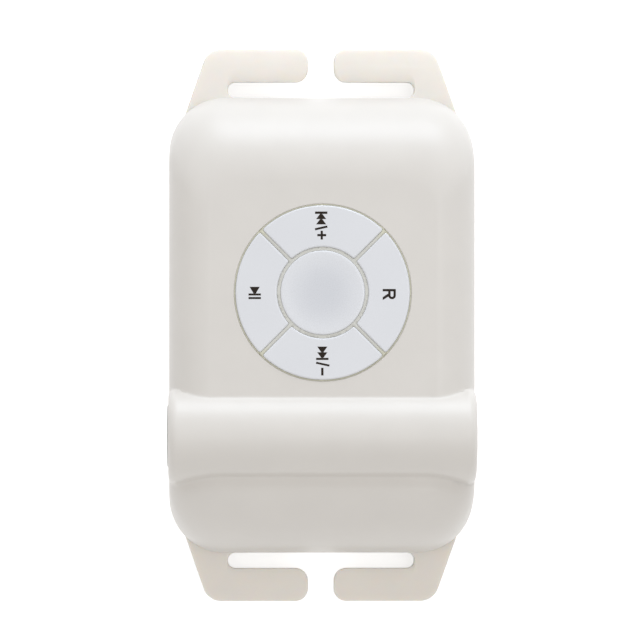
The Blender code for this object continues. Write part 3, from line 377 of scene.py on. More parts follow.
def finish(
    name,
    roughness,
    mottle,
    grain,
    depth,
    mottle_size=0.004,
    tint=(1.0, 1.0, 1.0),
    metallic=0.0,
    specular=0.5,
    coat=0.0,
    milky=0.0,
    milky_depth=0.0006,
    brushed=None,
    middle=None,
):
    """A finish in its own colour, mottled a little, with a fine grain in its gloss and its surface."""
    made = bpy.data.materials.get(f"{name}_finish")
    if made:
        return made
    made = bpy.data.materials.new(f"{name}_finish")
    made.use_nodes = True
    nodes = made.node_tree.nodes
    base = tuple(getattr(settings().finishes, name))
    place = nodes.new("ShaderNodeTexCoord").outputs["Object"]
    if brushed:
        place = wired(nodes.new("ShaderNodeMapping"), Vector=place, Scale=brushed).outputs["Vector"]
    cloud = noise(nodes, place, mottle_size, detail=4.0, roughness=0.5)
    spots = ranged(nodes, cloud, NOISE_RANGE, (0.0, 1.0))
    deep = (channel * (1 - mottle) for channel in base)
    pale = (min(channel * (1 + mottle) * part, 1.0) for channel, part in zip(base, tint))
    hue = mixed(nodes, spots, (*deep, 1.0), (*pale, 1.0))
    if middle:
        hue = middle_tint_and_painted_shade(nodes, hue, *middle)
    fine = noise(nodes, place, grain, detail=3.0, roughness=0.6)
    bump = wired(nodes.new("ShaderNodeBump"), Height=fine, Distance=depth, Strength=1.0)
    wired(
        nodes["Principled BSDF"],
        Base_Color=hue,
        Roughness=ranged(nodes, fine, NOISE_RANGE, (roughness - UNEVEN_GLOSS, roughness + UNEVEN_GLOSS)),
        Normal=bump.outputs["Normal"],
        Metallic=metallic,
        Specular_IOR_Level=specular,
        Subsurface_Weight=milky,
        Subsurface_Scale=milky_depth,
        Subsurface_Radius=MILKY_SPREAD,
        Coat_Weight=coat,
        Coat_Roughness=COAT_ROUGHNESS,
    )
    made.diffuse_color = (*base, 1.0)
    return made


# A middle is a tint round the keypad's middle: from a radius, to a radius, and the tint.
FINISHES = {
    "front_plastic": dict(roughness=0.38, mottle=0.012, grain=0.00012, depth=0.0000012),
    "rear_plastic": dict(
        roughness=0.5,
        mottle=0.015,
        grain=0.00015,
        depth=0.000002,
        specular=0.35,
        milky=0.6,
        milky_depth=0.0012,
    ),
    "key_plastic": dict(roughness=0.30, mottle=0.010, grain=0.0001, depth=0.0000006, coat=0.15),
    "centre_key_plastic": dict(
        roughness=0.28,
        mottle=0.010,
        grain=0.0001,
        depth=0.0000006,
        coat=0.15,
        # Painted shade: the centre key is darker towards its middle, where its hollow lies.
        middle=(0.0009, 0.0050, (0.86, 0.865, 0.88)),
    ),
    "print_ink": dict(
        roughness=0.55, mottle=0.15, mottle_size=0.0003, grain=0.00005, depth=0.000001, specular=0.15
    ),
    "collar_metal": dict(roughness=0.34, metallic=0.7, mottle=0.06, grain=0.00008, depth=0.000001),
    "seal_silicone": dict(
        roughness=0.60,
        mottle=0.03,
        grain=0.0001,
        depth=0.000002,
        middle=(0.0076, 0.0094, (0.985, 1.0, 1.17)),
    ),
    "gasket_rubber": dict(roughness=0.75, mottle=0.08, grain=0.0001, depth=0.000004),
    "black_plastic": dict(roughness=0.45, mottle=0.08, grain=0.00012, depth=0.000002),
    "plunger_plastic": dict(roughness=0.42, mottle=0.03, grain=0.00012, depth=0.000001),
    "board_laminate": dict(
        roughness=0.38,
        mottle=0.12,
        mottle_size=0.0008,
        tint=(1.0, 1.08, 0.9),
        grain=0.0002,
        depth=0.000002,
        coat=0.4,
    ),
    "chip_epoxy": dict(roughness=0.50, mottle=0.10, grain=0.00006, depth=0.000003),
    "ceramic": dict(roughness=0.48, mottle=0.06, mottle_size=0.0004, grain=0.00008, depth=0.000002),
    "steel": dict(
        roughness=0.28, metallic=1.0, mottle=0.05, mottle_size=0.0008, grain=0.00008, depth=0.000001
    ),
    "led_lens": dict(roughness=0.15, mottle=0.02, grain=0.0001, depth=0.0000005, coat=0.5),
    "pouch_foil": dict(roughness=0.34, metallic=0.85, mottle=0.05, grain=0.0006, depth=0.00001),
    "foam_pad": dict(roughness=0.92, mottle=0.25, mottle_size=0.0004, grain=0.0002, depth=0.00003),
    "red_insulation": dict(roughness=0.42, mottle=0.04, grain=0.0001, depth=0.000001),
    "black_insulation": dict(roughness=0.42, mottle=0.08, grain=0.0001, depth=0.000001),
    "contact_metal": dict(
        roughness=0.25, metallic=1.0, mottle=0.05, grain=0.0001, depth=0.000001, brushed=(1.0, 8.0, 1.0)
    ),
    "flex_film": dict(roughness=0.30, mottle=0.08, mottle_size=0.001, grain=0.0002, depth=0.000002),
}


def finished(name):
    return finish(name, **FINISHES[name])


# Mesh helpers

# Points that coincide lie within this far of each other, in metres.
WELD_REACH = 1e-8
# Points round the turned pieces.
SCREW_STEPS = 48
JACK_STEPS = 96
KEY_STEPS = 128
RIB_STEPS = 256


def linked(name, data):
    """A new object in the scene."""
    made = bpy.data.objects.new(name, data)
    bpy.context.scene.collection.objects.link(made)
    return made


def fresh(name, data):
    """A new object in the scene, in place of one of that name from an earlier run."""
    old = bpy.data.objects.get(name)
    if old:
        bpy.data.objects.remove(old)
    return linked(name, data)


def add_piece(name, mesh, body, finish_name, replaced=(), sharp=35):
    """Adds a piece riding on a body, with its finish and the CAD nodes that it stands for."""
    mesh.materials.clear()
    mesh.materials.append(finished(finish_name))
    mesh.shade_smooth()
    mesh.set_sharp_from_angle(angle=math.radians(sharp))
    made = fresh(name, mesh)
    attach(made, body)
    if replaced:
        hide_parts(*replaced)


def mesh_of(name, points, faces):
    mesh = bpy.data.meshes.new(name)
    mesh.from_pydata([tuple(point) for point in points], [], [tuple(face) for face in faces])
    mesh.update()
    return mesh


def ring_faces(rows, columns):
    """The quads between rings of as many points each. Anticlockwise rings that climb face outwards."""
    here = np.arange(rows * columns).reshape(rows, columns)
    beside = np.roll(here, -1, axis=1)
    quads = np.stack([here[:-1], beside[:-1], beside[1:], here[1:]], axis=-1)
    return quads.reshape(-1, 4).tolist()


def capped(name, rings):
    """A closed mesh through rings of as many points each, with flat ends."""
    rows, columns = rings.shape[:2]
    faces = ring_faces(rows, columns)
    faces.append(list(range(columns))[::-1])
    faces.append(list(range((rows - 1) * columns, rows * columns)))
    return mesh_of(name, rings.reshape(-1, 3), faces)


def looped(name, rings):
    """A closed mesh through rings of as many points each, whose last ring joins the first."""
    rows, columns = rings.shape[:2]
    faces = ring_faces(rows + 1, columns)
    faces = [[index % (rows * columns) for index in face] for face in faces]
    return mesh_of(name, rings.reshape(-1, 3), faces)


def shaped(mesh, *steps):
    """A mesh after steps that each change its shape."""
    shape = bmesh.new()
    shape.from_mesh(mesh)
    for step in steps:
        step(shape)
    shape.to_mesh(mesh)
    shape.free()
    return mesh


def weld(shape):
    """Joins the points that coincide and turns the faces outwards."""
    bmesh.ops.remove_doubles(shape, verts=shape.verts[:], dist=WELD_REACH)
    bmesh.ops.recalc_face_normals(shape, faces=shape.faces[:])


def circle(steps):
    """The directions of as many points round a circle."""
    return np.linspace(0, 2 * math.pi, steps, endpoint=False)


def level_ring(x, y, height):
    """A ring's points, all at one height."""
    return np.stack([x, y, np.full(len(x), height)], axis=-1)


def turned(name, profile, steps, centre=(0, 0, 0), axis="Z", closed=False):
    """A profile of (radius, height) points spun about Z or X. A closed profile makes a ring."""
    x, y = np.cos(circle(steps)), np.sin(circle(steps))
    rings = np.array([level_ring(radius * x, radius * y, height) for radius, height in profile])
    if axis == "X":
        rings = np.roll(rings, 1, axis=2)
    rings = rings + np.array(centre)
    return shaped(looped(name, rings) if closed else capped(name, rings), weld)


def joined(name, meshes):
    """Several meshes as one."""
    shape = bmesh.new()
    for mesh in meshes:
        shape.from_mesh(mesh)
    made = bpy.data.meshes.new(name)
    shape.to_mesh(made)
    shape.free()
    return made


def evaluated(made):
    """An object's mesh, with its modifiers or its curve worked out."""
    graph = bpy.context.evaluated_depsgraph_get()
    return bpy.data.meshes.new_from_object(made.evaluated_get(graph))


def carved(mesh, steps):
    """A mesh after Booleans, each given as (operation, mesh)."""
    target = linked("carved", mesh)
    helpers = [target]
    for operation, other in steps:
        tool = linked("tool", other)
        helpers.append(tool)
        step = target.modifiers.new(operation, "BOOLEAN")
        step.operation = operation
        step.solver = "EXACT"
        step.object = tool
    result = evaluated(target)
    for helper in helpers:
        bpy.data.objects.remove(helper)
    if len(result.polygons) < 4:
        raise RuntimeError(f"{mesh.name}: a Boolean left nothing")
    return result


def levels_of(radius, steps=7):
    """A quarter-round from a face's edge out to the side, as (inset, depth below the face)."""
    turns = np.linspace(0, math.pi / 2, steps + 1)
    return [(radius * (1 - math.sin(turn)), radius * (1 - math.cos(turn))) for turn in turns]


# The case

# Points along each corner, end and side of a ring: the front shell's, which are spaced again, and the rear's.
FINE_RING = (90, 260, 440)
COARSE_RING = (14, 10, 14)
# The barrel moves the case's points within this many radii of its axis, in this many steps.
SWELL_REACH = 2.2
SWELL_STEPS = 90
# Below this y a ring's points crowd together, fully so after this way, and then by this much.
CROWDED_FROM = -0.003
CROWDED_WAY = 0.003
CROWDING = 1.4
# How much closer together rings lie towards the end of a run of them.
DRAWN_CLOSER = 1.2
# The last ring of the face before the keypad's hole: how far above the barrel's axis it keeps, how far inside
# the face's other edges, and its corners.
FACE_BEGINS = 0.0051
FACE_MARGIN = 0.0006
FACE_CORNER = 0.0025
JACK_HOLE_DEPTH = 0.0045
# A lug's root: how far its outer edge reaches into the case, how much of the wall its inner end takes up, its
# width, and the gap between the slot and the case.
LUG_ROOT_DEPTH = 0.0024
LUG_ROOT_SHARE = 0.8
LUG_ROOT_WIDTH = 0.0022
LUG_SLOT_GAP = 0.00003
LUG_CORNER_STEPS = 10
LUG_CUTS = 15
# The first ring of the rear shell's back, as a share of the edge round it.
BOTTOM_SHARE = 0.985


def pulled_in(height, top, radius):
    """How far a quarter-round that ends at the height top has pulled a side in, at a height."""
    rise = min(max(height - (top - radius), 0.0), radius)
    return radius - math.sqrt(radius**2 - rise**2)


def ring_columns(corner_steps, end_steps, side_steps):
    """A ring's points, each as its corner's share of x and of y and its direction."""
    quarter_turn = math.pi / 2
    columns = []
    for corner, (sign_x, sign_y) in enumerate(((1, 1), (-1, 1), (-1, -1), (1, -1))):
        turns = [quarter_turn * (corner + step / corner_steps) for step in range(corner_steps + 1)]
        columns += [(sign_x, sign_y, turn) for turn in turns[:-1]]
        if corner % 2 == 0:
            run = np.linspace(sign_x, -sign_x, end_steps, endpoint=False)
            columns += [(x, sign_y, turns[-1]) for x in run]
        else:
            run = np.linspace(sign_y, -sign_y, side_steps, endpoint=False)
            columns += [(sign_x, y, turns[-1]) for y in run]
    return np.array(columns)


def rounded_ring(columns, half_x, half_y, radius, height, middle_y=0.0):
    """A rounded rectangle at a height."""
    x = columns[:, 0] * (half_x - radius) + radius * np.cos(columns[:, 2])
    y = middle_y + columns[:, 1] * (half_y - radius) + radius * np.sin(columns[:, 2])
    return level_ring(x, y, height)


def case_ring(columns, case, height, skin=0.0):
    """The case's outline at a height. A skin above 0 gives the surface that far inside."""
    back = max(case.back_rounding - skin, 0.0)
    low = min(skin, case.floor)
    under = pulled_in(low + back - height, back, back) if height < low + back else 0.0
    side = pulled_in(height, case.face_height - skin, case.side_rounding - skin)
    end = pulled_in(height, case.face_height - skin, case.end_rounding - skin)
    tightened = (case.body_corner - case.face_corner) * side / case.side_rounding
    radius = max(case.body_corner - skin - tightened, case.face_corner / 4)
    half_x = BODY_SIDE - skin - side - under
    half_y = BODY_END - skin - end - under
    return rounded_ring(columns, half_x, half_y, radius, height)


def barrel_distance(points, axis_y, radius, half, edge):
    """Distance from points to the barrel, whose ends have a rounded edge."""
    around = np.hypot(points[:, 1] - axis_y, points[:, 2] - BARREL_AXIS.z)
    out = np.stack([around - (radius - edge), np.abs(points[:, 0]) - (half - edge)], axis=-1)
    return np.linalg.norm(np.maximum(out, 0), axis=1) + np.minimum(out.max(axis=1), 0) - edge


def blended(first, second, width):
    """The smaller of two distances, with a soft blend where they are alike."""
    if width <= 0:
        return np.minimum(first, second)
    near = np.maximum(width - np.abs(first - second), 0) / width
    return np.minimum(first, second) - near**2 * width / 4


def swollen(points, normals, radius, half, edge, case):
    """The case's points moved out along their normals to the barrel, with a crease along its lower side."""
    axis_y = BARREL_AXIS.y - case.barrel_shift
    barrel = (axis_y, radius, half, edge)
    fillet = case.barrel_fillet
    moved = points.copy()
    beside = np.abs(points[:, 1] - axis_y) < SWELL_REACH * (radius + fillet)
    start, direction = points[beside], normals[beside]
    away = np.full(len(start), 2 * radius)
    for _ in range(SWELL_STEPS):
        at = start + direction * away[:, None]
        away -= blended(away, barrel_distance(at, *barrel), fillet)
    away = np.maximum(away, 0)
    beyond = np.maximum(barrel_distance(start, *barrel), 0) / case.crease_width
    below = np.clip((axis_y - start[:, 1]) / radius, 0, 1) * np.clip(direction[:, 2], 0, 1)
    below *= np.sin(np.clip((half - np.abs(start[:, 0])) / case.crease_end, 0, 1) * math.pi / 2) ** 2
    away -= case.crease * below * np.exp(-(beyond**2) - (away / case.crease_rise) ** 2)
    moved[beside] = start + direction * away[:, None]
    moved[:, 0] = np.clip(moved[:, 0], -half, half)
    return moved


def outward(rings):
    """Normals of a grid of rings that climb anticlockwise."""
    along = np.roll(rings, -1, axis=1) - np.roll(rings, 1, axis=1)
    up = np.gradient(rings, axis=0)
    normals = np.cross(along, up)
    return normals / np.linalg.norm(normals, axis=2, keepdims=True)


def evenly(ring, columns):
    """A closed ring with its points spaced again, closer together towards the barrel."""
    closed = np.concatenate([ring, ring[:1]])
    steps = np.linalg.norm(np.diff(closed, axis=0), axis=1)
    middle = (closed[:-1, 1] + closed[1:, 1]) / 2
    near = np.clip((CROWDED_FROM - middle) / CROWDED_WAY, 0, 1)
    travelled = np.concatenate([[0], np.cumsum(steps * (1 + CROWDING * near))])
    wanted = np.linspace(0, travelled[-1], columns, endpoint=False)
    return np.stack([np.interp(wanted, travelled, closed[:, axis]) for axis in range(3)], axis=-1)


def closer(shares):
    """Even shares of a way, drawn closer together towards its end."""
    left = 1 - shares
    return 1 - (left + DRAWN_CLOSER * left**2) / (1 + DRAWN_CLOSER)


def shell_rows(case, skin, end_rows, face_rows):
    """The front shell's surface from its rim to the keypad's hole, blended with the barrel."""
    fine = ring_columns(*FINE_RING)
    top = case.face_height - skin
    rounding = case.end_rounding - skin
    first = math.asin((FRONT_LOW.z - (top - rounding)) / rounding)
    turns = first + (math.pi / 2 - first) * closer(np.linspace(0, 1, end_rows))
    heights = top - rounding * (1 - np.sin(turns))
    loft = np.array([case_ring(fine, case, height, skin) for height in heights])
    loft[-1][:, 2] = top
    normals = outward(loft)
    normals[-1] = (0, 0, 1)
    face = loft[-1]
    low_y = BARREL_AXIS.y + FACE_BEGINS
    high_y = face[:, 1].max() - FACE_MARGIN
    half_x = face[:, 0].max() - FACE_MARGIN
    inner = rounded_ring(fine, half_x, (high_y - low_y) / 2, FACE_CORNER, top, (high_y + low_y) / 2)
    blends = closer(np.linspace(0, 1, face_rows + 1))[1:]
    flat = np.array([face + (inner - face) * blend for blend in blends])
    rows = np.concatenate([loft, flat])
    normals = np.concatenate([normals, np.broadcast_to((0.0, 0.0, 1.0), flat.shape)])
    radius, half = (size - case.barrel_trim - skin for size in (BARREL_RADIUS, BARREL_HALF))
    edge = max(case.barrel_edge - skin, case.barrel_edge / 4)
    swollen_points = swollen(rows.reshape(-1, 3), normals.reshape(-1, 3), radius, half, edge, case)
    return np.array([evenly(row, case.columns) for row in swollen_points.reshape(rows.shape)])


def hole_rows(inner, levels):
    """Rings round the keypad's hole at each (radius, height), in line with the ring outside them."""
    turns = np.arctan2(inner[:, 1] - PAD_CENTRE.y, inner[:, 0] - PAD_CENTRE.x)
    rings = []
    for radius, height in levels:
        x, y = PAD_CENTRE.x + radius * np.cos(turns), PAD_CENTRE.y + radius * np.sin(turns)
        rings.append(level_ring(x, y, height))
    return rings


def front_shell_mesh(case, jack):
    """A thin-walled cover with a rounded rim, the keypad's hole and the jack's hole."""
    hole = PAD_RADIUS + case.hole_gap
    top, roof = case.face_height, case.face_height - case.wall
    outer = shell_rows(case, 0.0, case.end_rows, case.face_rows)
    inner = shell_rows(case, case.wall, case.end_rows // 3, case.face_rows // 3)
    edge = case.hole_edge
    levels = [(hole + 2 * edge, top), (hole + 1.15 * edge, top)]
    levels += [(hole + inset, top - drop) for inset, drop in levels_of(edge, 5)]
    levels += [(hole, top - 1.3 * edge), (hole, roof + edge), (hole, roof)]
    rim = []
    for inset, drop in levels_of(case.rim_edge, 3)[:-1]:
        ring = outer[0].copy()
        ring[:, 2] = FRONT_LOW.z + drop
        ring[:, :2] *= 1 - inset / np.linalg.norm(ring[:, :2], axis=1, keepdims=True)
        rim.append(ring)
    outer[0][:, 2] = FRONT_LOW.z + case.rim_edge
    inside = hole_rows(inner[-1], [(hole + edge, roof)])
    rings = [*rim, *outer, *hole_rows(outer[-1], levels), *inside, *inner[::-1]]
    start = -BARREL_HALF - 2 * BARREL_RADIUS
    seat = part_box("jack_o_ring")[1].x + jack.gap
    end = -BARREL_HALF + JACK_HOLE_DEPTH
    flange, nose = jack.collar_radius + jack.gap, jack.collar_nose + jack.gap
    profile = [(0, start), (flange, start), (flange, seat), (nose, seat), (nose, end), (0, end)]
    cutter = turned("jack_hole", profile, JACK_STEPS, (0, BARREL_AXIS.y, BARREL_AXIS.z), "X")
    return carved(looped("front_shell_visual", np.array(rings)), [("DIFFERENCE", cutter)])


def case_tub(case):
    """The rear shell's outside up to its rim, as a solid."""
    columns = ring_columns(*COARSE_RING)
    edge = case.rim_edge
    rim = REAR_HIGH.z
    bottom = case_ring(columns, case, 0.0)
    bottom[:, :2] *= BOTTOM_SHARE
    heights = [drop for _, drop in levels_of(case.back_rounding, 8)]
    heights += [rim * 0.7, rim - 2 * edge, rim - edge]
    rings = [bottom, *(case_ring(columns, case, height) for height in heights)]
    side, inner = (case_ring(columns, case, rim - edge, skin) for skin in (0.0, edge))
    for inset, drop in levels_of(edge, 3)[-2::-1]:
        ring = side + (inner - side) * inset / edge
        ring[:, 2] = rim - drop
        rings.append(ring)
    return capped("rear_tub", np.array(rings))


def case_room(case):
    """The room inside the rear shell, with the gasket's rebate round its rim."""
    columns = ring_columns(*COARSE_RING)
    seat = REAR_HIGH.z - case.gasket_height
    room, rebate = (case_ring(columns, case, seat, skin).T for skin in (case.wall, case.gasket_lip))
    levels = ((room, case.floor), (room, seat), (rebate, seat), (rebate, 2 * REAR_HIGH.z))
    return capped("rear_room", np.array([level_ring(x, y, height) for (x, y, _), height in levels]))


def moved_edges(corners, shifts):
    """A closed outline of (x, y, radius) corners whose edges have each moved in by their own distance."""
    total = len(corners)
    points = [Vector(corner[:2]) for corner in corners]
    lines = []
    for index, point in enumerate(points):
        along = (points[(index + 1) % total] - point).normalized()
        inward = Vector((-along.y, along.x))
        lines.append((point + inward * shifts[index], along))
    outline = []
    for index, (_, _, radius) in enumerate(corners):
        (start, before), (point, after) = lines[index - 1], lines[index]
        turn = before.x * after.y - before.y * after.x
        step = ((point.x - start.x) * after.y - (point.y - start.y) * after.x) / turn
        place = start + before * step
        shift = (shifts[index - 1] + shifts[index]) / 2
        rounded = radius and max(radius - shift if turn > 0 else radius + shift, 0.00002)
        outline.append((place.x, place.y, rounded))
    return outline


def rounded_outline(corners, steps):
    """The points along an outline of (x, y, radius) corners, each rounded by its own radius."""
    outline = []
    for index, (x, y, radius) in enumerate(corners):
        here = Vector((x, y))
        before = Vector(corners[index - 1][:2]) - here
        after = Vector(corners[(index + 1) % len(corners)][:2]) - here
        if radius <= 0:
            outline.append((x, y))
            continue
        half_angle = before.angle(after) / 2
        middle = (before.normalized() + after.normalized()).normalized()
        centre = here + middle * (radius / math.sin(half_angle))
        setback = radius / math.tan(half_angle)
        start = here + before.normalized() * setback - centre
        end = here + after.normalized() * setback - centre
        sweep = start.angle_signed(end)
        for step in range(steps + 1):
            turn = -sweep * step / steps
            outline.append((
                centre.x + start.x * math.cos(turn) - start.y * math.sin(turn),
                centre.y + start.x * math.sin(turn) + start.y * math.cos(turn),
            ))
    return outline


def lug_top(lugs, y):
    """Height of a lug's upper face, which bends down round the arm."""
    root = lugs.bend_radius * math.sin(lugs.root_slope)
    along = min(max(root + abs(y) - BODY_END, 0.0), lugs.bend_radius)
    drop = lugs.bend_radius * math.cos(lugs.root_slope) - math.sqrt(lugs.bend_radius**2 - along**2)
    return REAR_HIGH.z - lugs.drop - drop


def lug_mesh(case, lugs, sign_x, sign_y):
    """One hook with rounded edges, bent down towards its tip. Its root lies in the case's wall."""
    tip_y = REAR_HIGH.y
    bar_y = BODY_END + lugs.slot_width
    outer_y = BODY_END - LUG_ROOT_DEPTH
    slot_y = BODY_END + LUG_SLOT_GAP
    mouth, slot, outer = lugs.slot_mouth / 2, lugs.slot_length / 2, lugs.tip_span / 2
    inner = slot - LUG_ROOT_WIDTH
    corners = [
        (outer + (tip_y - outer_y) * math.tan(lugs.flare), outer_y, 0),
        (outer, tip_y, lugs.corner),
        (mouth, tip_y, lugs.end_corner),
        (mouth, bar_y, lugs.end_corner),
        (slot, bar_y, lugs.slot_corner),
        (slot, slot_y, lugs.slot_corner),
        (inner, slot_y, 0),
        (inner, BODY_END - case.wall * LUG_ROOT_SHARE, 0),
    ]
    rounding = levels_of(lugs.edge)
    levels = [(inset, drop, drop - lugs.thickness) for inset, drop in rounding]
    levels += [(inset, drop, -drop) for inset, drop in reversed(rounding)]
    rings = []
    for inset, drop, height in levels:
        narrow = inset * lugs.edge_width / lugs.edge
        slope = lugs.bar_slope * (1 - math.sqrt(min(drop / lugs.bar_fall, 1)))
        shifts = [narrow, narrow, narrow, slope, narrow, narrow, 0.0, 0.0]
        outline = rounded_outline(moved_edges(corners, shifts), LUG_CORNER_STEPS)
        rings.append([(x, y, height) for x, y in outline])

    def bend(shape):
        for cut in range(-3, LUG_CUTS):
            place = (0, BODY_END + (tip_y - BODY_END) * cut / LUG_CUTS, 0)
            every = shape.verts[:] + shape.edges[:] + shape.faces[:]
            bmesh.ops.bisect_plane(shape, geom=every, plane_co=place, plane_no=(0, 1, 0))
        for vert in shape.verts:
            x, y, z = vert.co
            vert.co = (sign_x * x, sign_y * y, z + lug_top(lugs, y))
        bmesh.ops.recalc_face_normals(shape, faces=shape.faces[:])

    return shaped(capped("lug", np.array(rings)), bend)


def screw_places():
    """The case's screws stand in its corners."""
    middle = (SCREW_LOW + SCREW_HIGH) / 2
    return [(sign_x * abs(middle.x), sign_y * abs(middle.y)) for sign_x in (1, -1) for sign_y in (1, -1)]


def rods(radius, low, high):
    """Equal round rods, one at each screw."""
    profile = [(0, low), (radius, low), (radius, high), (0, high)]
    return joined("rods", [turned("rod", profile, SCREW_STEPS, (x, y, 0)) for x, y in screw_places()])


def rear_shell_mesh(case, lugs, screws):
    """The tub with its four lugs, the screws' posts and their holes."""
    hooks = [lug_mesh(case, lugs, sign_x, sign_y) for sign_x in (1, -1) for sign_y in (1, -1)]
    head_top = SCREW_LOW.z + screws.head_height + screws.clearance
    return carved(
        case_tub(case),
        [
            ("UNION", joined("hooks", hooks)),
            ("DIFFERENCE", case_room(case)),
            ("UNION", rods(screws.post, case.floor / 2, REAR_HIGH.z)),
            ("DIFFERENCE", rods(screws.head + screws.clearance, -case.floor, head_top)),
            ("DIFFERENCE", rods(screws.shank + screws.clearance, 0, 2 * REAR_HIGH.z)),
        ],
    )


# The keypad

# The rings of the centre key's hollow, and how steeply it sinks from its rim.
HOLLOW_STEPS = 20
HOLLOW_EASE = 6
# The ribs' depth below the keys, and how far the rooms cut for the keys pass their tops.
RIB_ROOT = 0.0005
OVERSHOOT = 0.001
# The frame's points that coincide lie within this far of each other, in metres.
SHEET_REACH = 1e-7


def sector_base(keypad, direction):
    """A ring key's outline before its corners grow round: x, y, and the direction to grow in."""
    side = keypad.groove / 2 + keypad.corner
    wide = PAD_RADIUS - keypad.corner
    narrow = CENTRE_KEY_RADIUS + keypad.groove + keypad.corner
    half, eighth = math.pi, math.pi / 4
    far, close = (eighth - math.asin(side / radius) for radius in (wide, narrow))
    # Each run's radius, its turns and facings from and to, its steps, and the points that it takes of them.
    runs = (
        (wide, (-far, far), (-far, far), 48, 48),
        (wide, (far, far), (far, 3 * eighth), 8, 9),
        (narrow, (close, close), (3 * eighth, half + close), 8, 8),
        (narrow, (close, -close), (half + close, half - close), 24, 24),
        (narrow, (-close, -close), (half - close, 5 * eighth), 8, 9),
        (wide, (-far, -far), (5 * eighth, 2 * half - far), 8, 8),
    )
    base = []
    for radius, *ways, steps, points in runs:
        turns, facings = (math.radians(direction) + np.linspace(*way, steps + 1)[:points] for way in ways)
        base.append((radius * np.cos(turns), radius * np.sin(turns), np.cos(facings), np.sin(facings)))
    return np.concatenate(base, axis=1)


def sector_rings(keypad, direction, levels):
    """A ring sector's outline at each (inset, height)."""
    x, y, grow_x, grow_y = sector_base(keypad, direction)
    rings = []
    for inset, height in levels:
        grown = keypad.corner - inset
        place = (PAD_CENTRE.x + x + grow_x * grown, PAD_CENTRE.y + y + grow_y * grown)
        rings.append(level_ring(*place, height))
    return np.array(rings)


def ring_key_mesh(keypad, direction):
    """A ring sector with rounded corners and edges."""
    under = keypad.edge / 3
    levels = [(under, KEY_BOTTOM), (0.0, KEY_BOTTOM + under), (0.0, KEY_TOP - 1.3 * keypad.edge)]
    levels += [(inset, KEY_TOP - drop) for inset, drop in reversed(levels_of(keypad.edge, 6))]
    levels.append((1.25 * keypad.edge, KEY_TOP))
    return capped("ring_key", sector_rings(keypad, direction, levels))


def centre_key_mesh(keypad):
    """A round cap with a shallow hollow inside a soft rim."""
    radius, edge = CENTRE_KEY_RADIUS, keypad.edge
    under = edge / 3
    profile = [(0, KEY_BOTTOM), (radius - under, KEY_BOTTOM), (radius, KEY_BOTTOM + under)]
    profile += [(radius - inset, KEY_TOP - drop) for inset, drop in reversed(levels_of(edge))]
    for out in np.linspace(1, 0, HOLLOW_STEPS + 1)[1:]:
        ease = min(1.0, (1 - out) * HOLLOW_EASE)
        profile.append(((radius - edge) * out, KEY_TOP - keypad.dish * (1 - out**2) * ease))
    return turned("centre_key", profile, KEY_STEPS, (PAD_CENTRE.x, PAD_CENTRE.y, 0))


def seal_mesh(keypad, hole):
    """The seal under the keys, with ribs in the grooves and a lip in the gap round the keys."""
    root = KEY_BOTTOM - RIB_ROOT
    rib_top, lip_top = KEY_TOP - keypad.rib_drop, KEY_TOP - keypad.lip_drop
    low, high = root - OVERSHOOT, KEY_TOP + OVERSHOOT
    gap, middle = keypad.rib_gap, (PAD_CENTRE.x, PAD_CENTRE.y, 0)
    outer, inner, well = hole - gap, PAD_RADIUS, CENTRE_KEY_RADIUS + gap
    profile = [(0, root), (outer, root), (outer, lip_top), (inner, lip_top), (inner, rib_top), (0, rib_top)]
    levels = [(-gap, low), (-gap, high)]
    rooms = [capped("key_room", sector_rings(keypad, turn, levels)) for turn in RING_KEYS.values()]
    rooms.append(turned("key_room", [(0, low), (well, low), (well, high), (0, high)], KEY_STEPS, middle))
    ribs = carved(turned("ribs", profile, RIB_STEPS, middle), [("DIFFERENCE", room) for room in rooms])

    def close(shape):
        bmesh.ops.remove_doubles(shape, verts=shape.verts[:], dist=SHEET_REACH)

    sheet = joined("seal_sheet", [frame["nodes"]["keypad_seal"].data])
    return carved(shaped(sheet, close), [("UNION", ribs)])


# The legends are drawn with u along the reading direction and v up each sign, and turned to read towards -Y.
# Their prints are sunk this far into the keys.
PRINT_SUNK = 0.00002


def bar(start, width, half):
    return [(start, -half), (start + width, -half), (start + width, half), (start, half)]


def arrow(start, tip, half, blunt=0.00012):
    """A triangle from its base at start to its blunt tip."""
    return [(start, -half), (tip, -blunt), (tip, blunt), (start, half)]


def stroke_between(first, second, width):
    """A straight line of even width between two points."""
    a, b = Vector(first), Vector(second)
    along = (b - a).normalized()
    side = Vector((-along.y, along.x)) * width / 2
    return [tuple(a - side), tuple(b - side), tuple(b + side), tuple(a + side)]


def plus(middle, rise, half, width):
    w = width / 2
    sketch = [(w, w), (half, w), (half, -w), (w, -w), (w, -half), (-w, -half)]
    sketch += [(-w, -w), (-half, -w), (-half, w), (-w, w), (-w, half), (w, half)]
    return [(middle + u, rise + v) for u, v in reversed(sketch)]


def letter_r(height, width, stroke):
    """The letter R as an outline and the hole in its bowl, standing on v = 0 with its stem at u = 0."""
    waist, crotch = 0.42 * height, 0.42 * width
    bowl = (height - waist) / 2
    inner = bowl - stroke
    centre_u, centre_v = width - stroke * 0.25 - bowl, waist + bowl
    turns = [math.radians(turn) for turn in range(-80, 91, 10)]

    def arc(radius):
        return [(centre_u + radius * math.cos(turn), centre_v + radius * math.sin(turn)) for turn in turns]

    foot, knee = width - stroke * 1.1, crotch + stroke * 1.35
    leg = [(crotch, waist), (foot, 0), (width + stroke * 0.1, 0), (knee, waist)]
    outline = [(0, 0), (stroke, 0), (stroke, waist), *leg, *arc(bowl), (0, height)]
    hole = [(stroke, centre_v + inner), *reversed(arc(inner)), (stroke, centre_v - inner)]
    return [outline, hole]


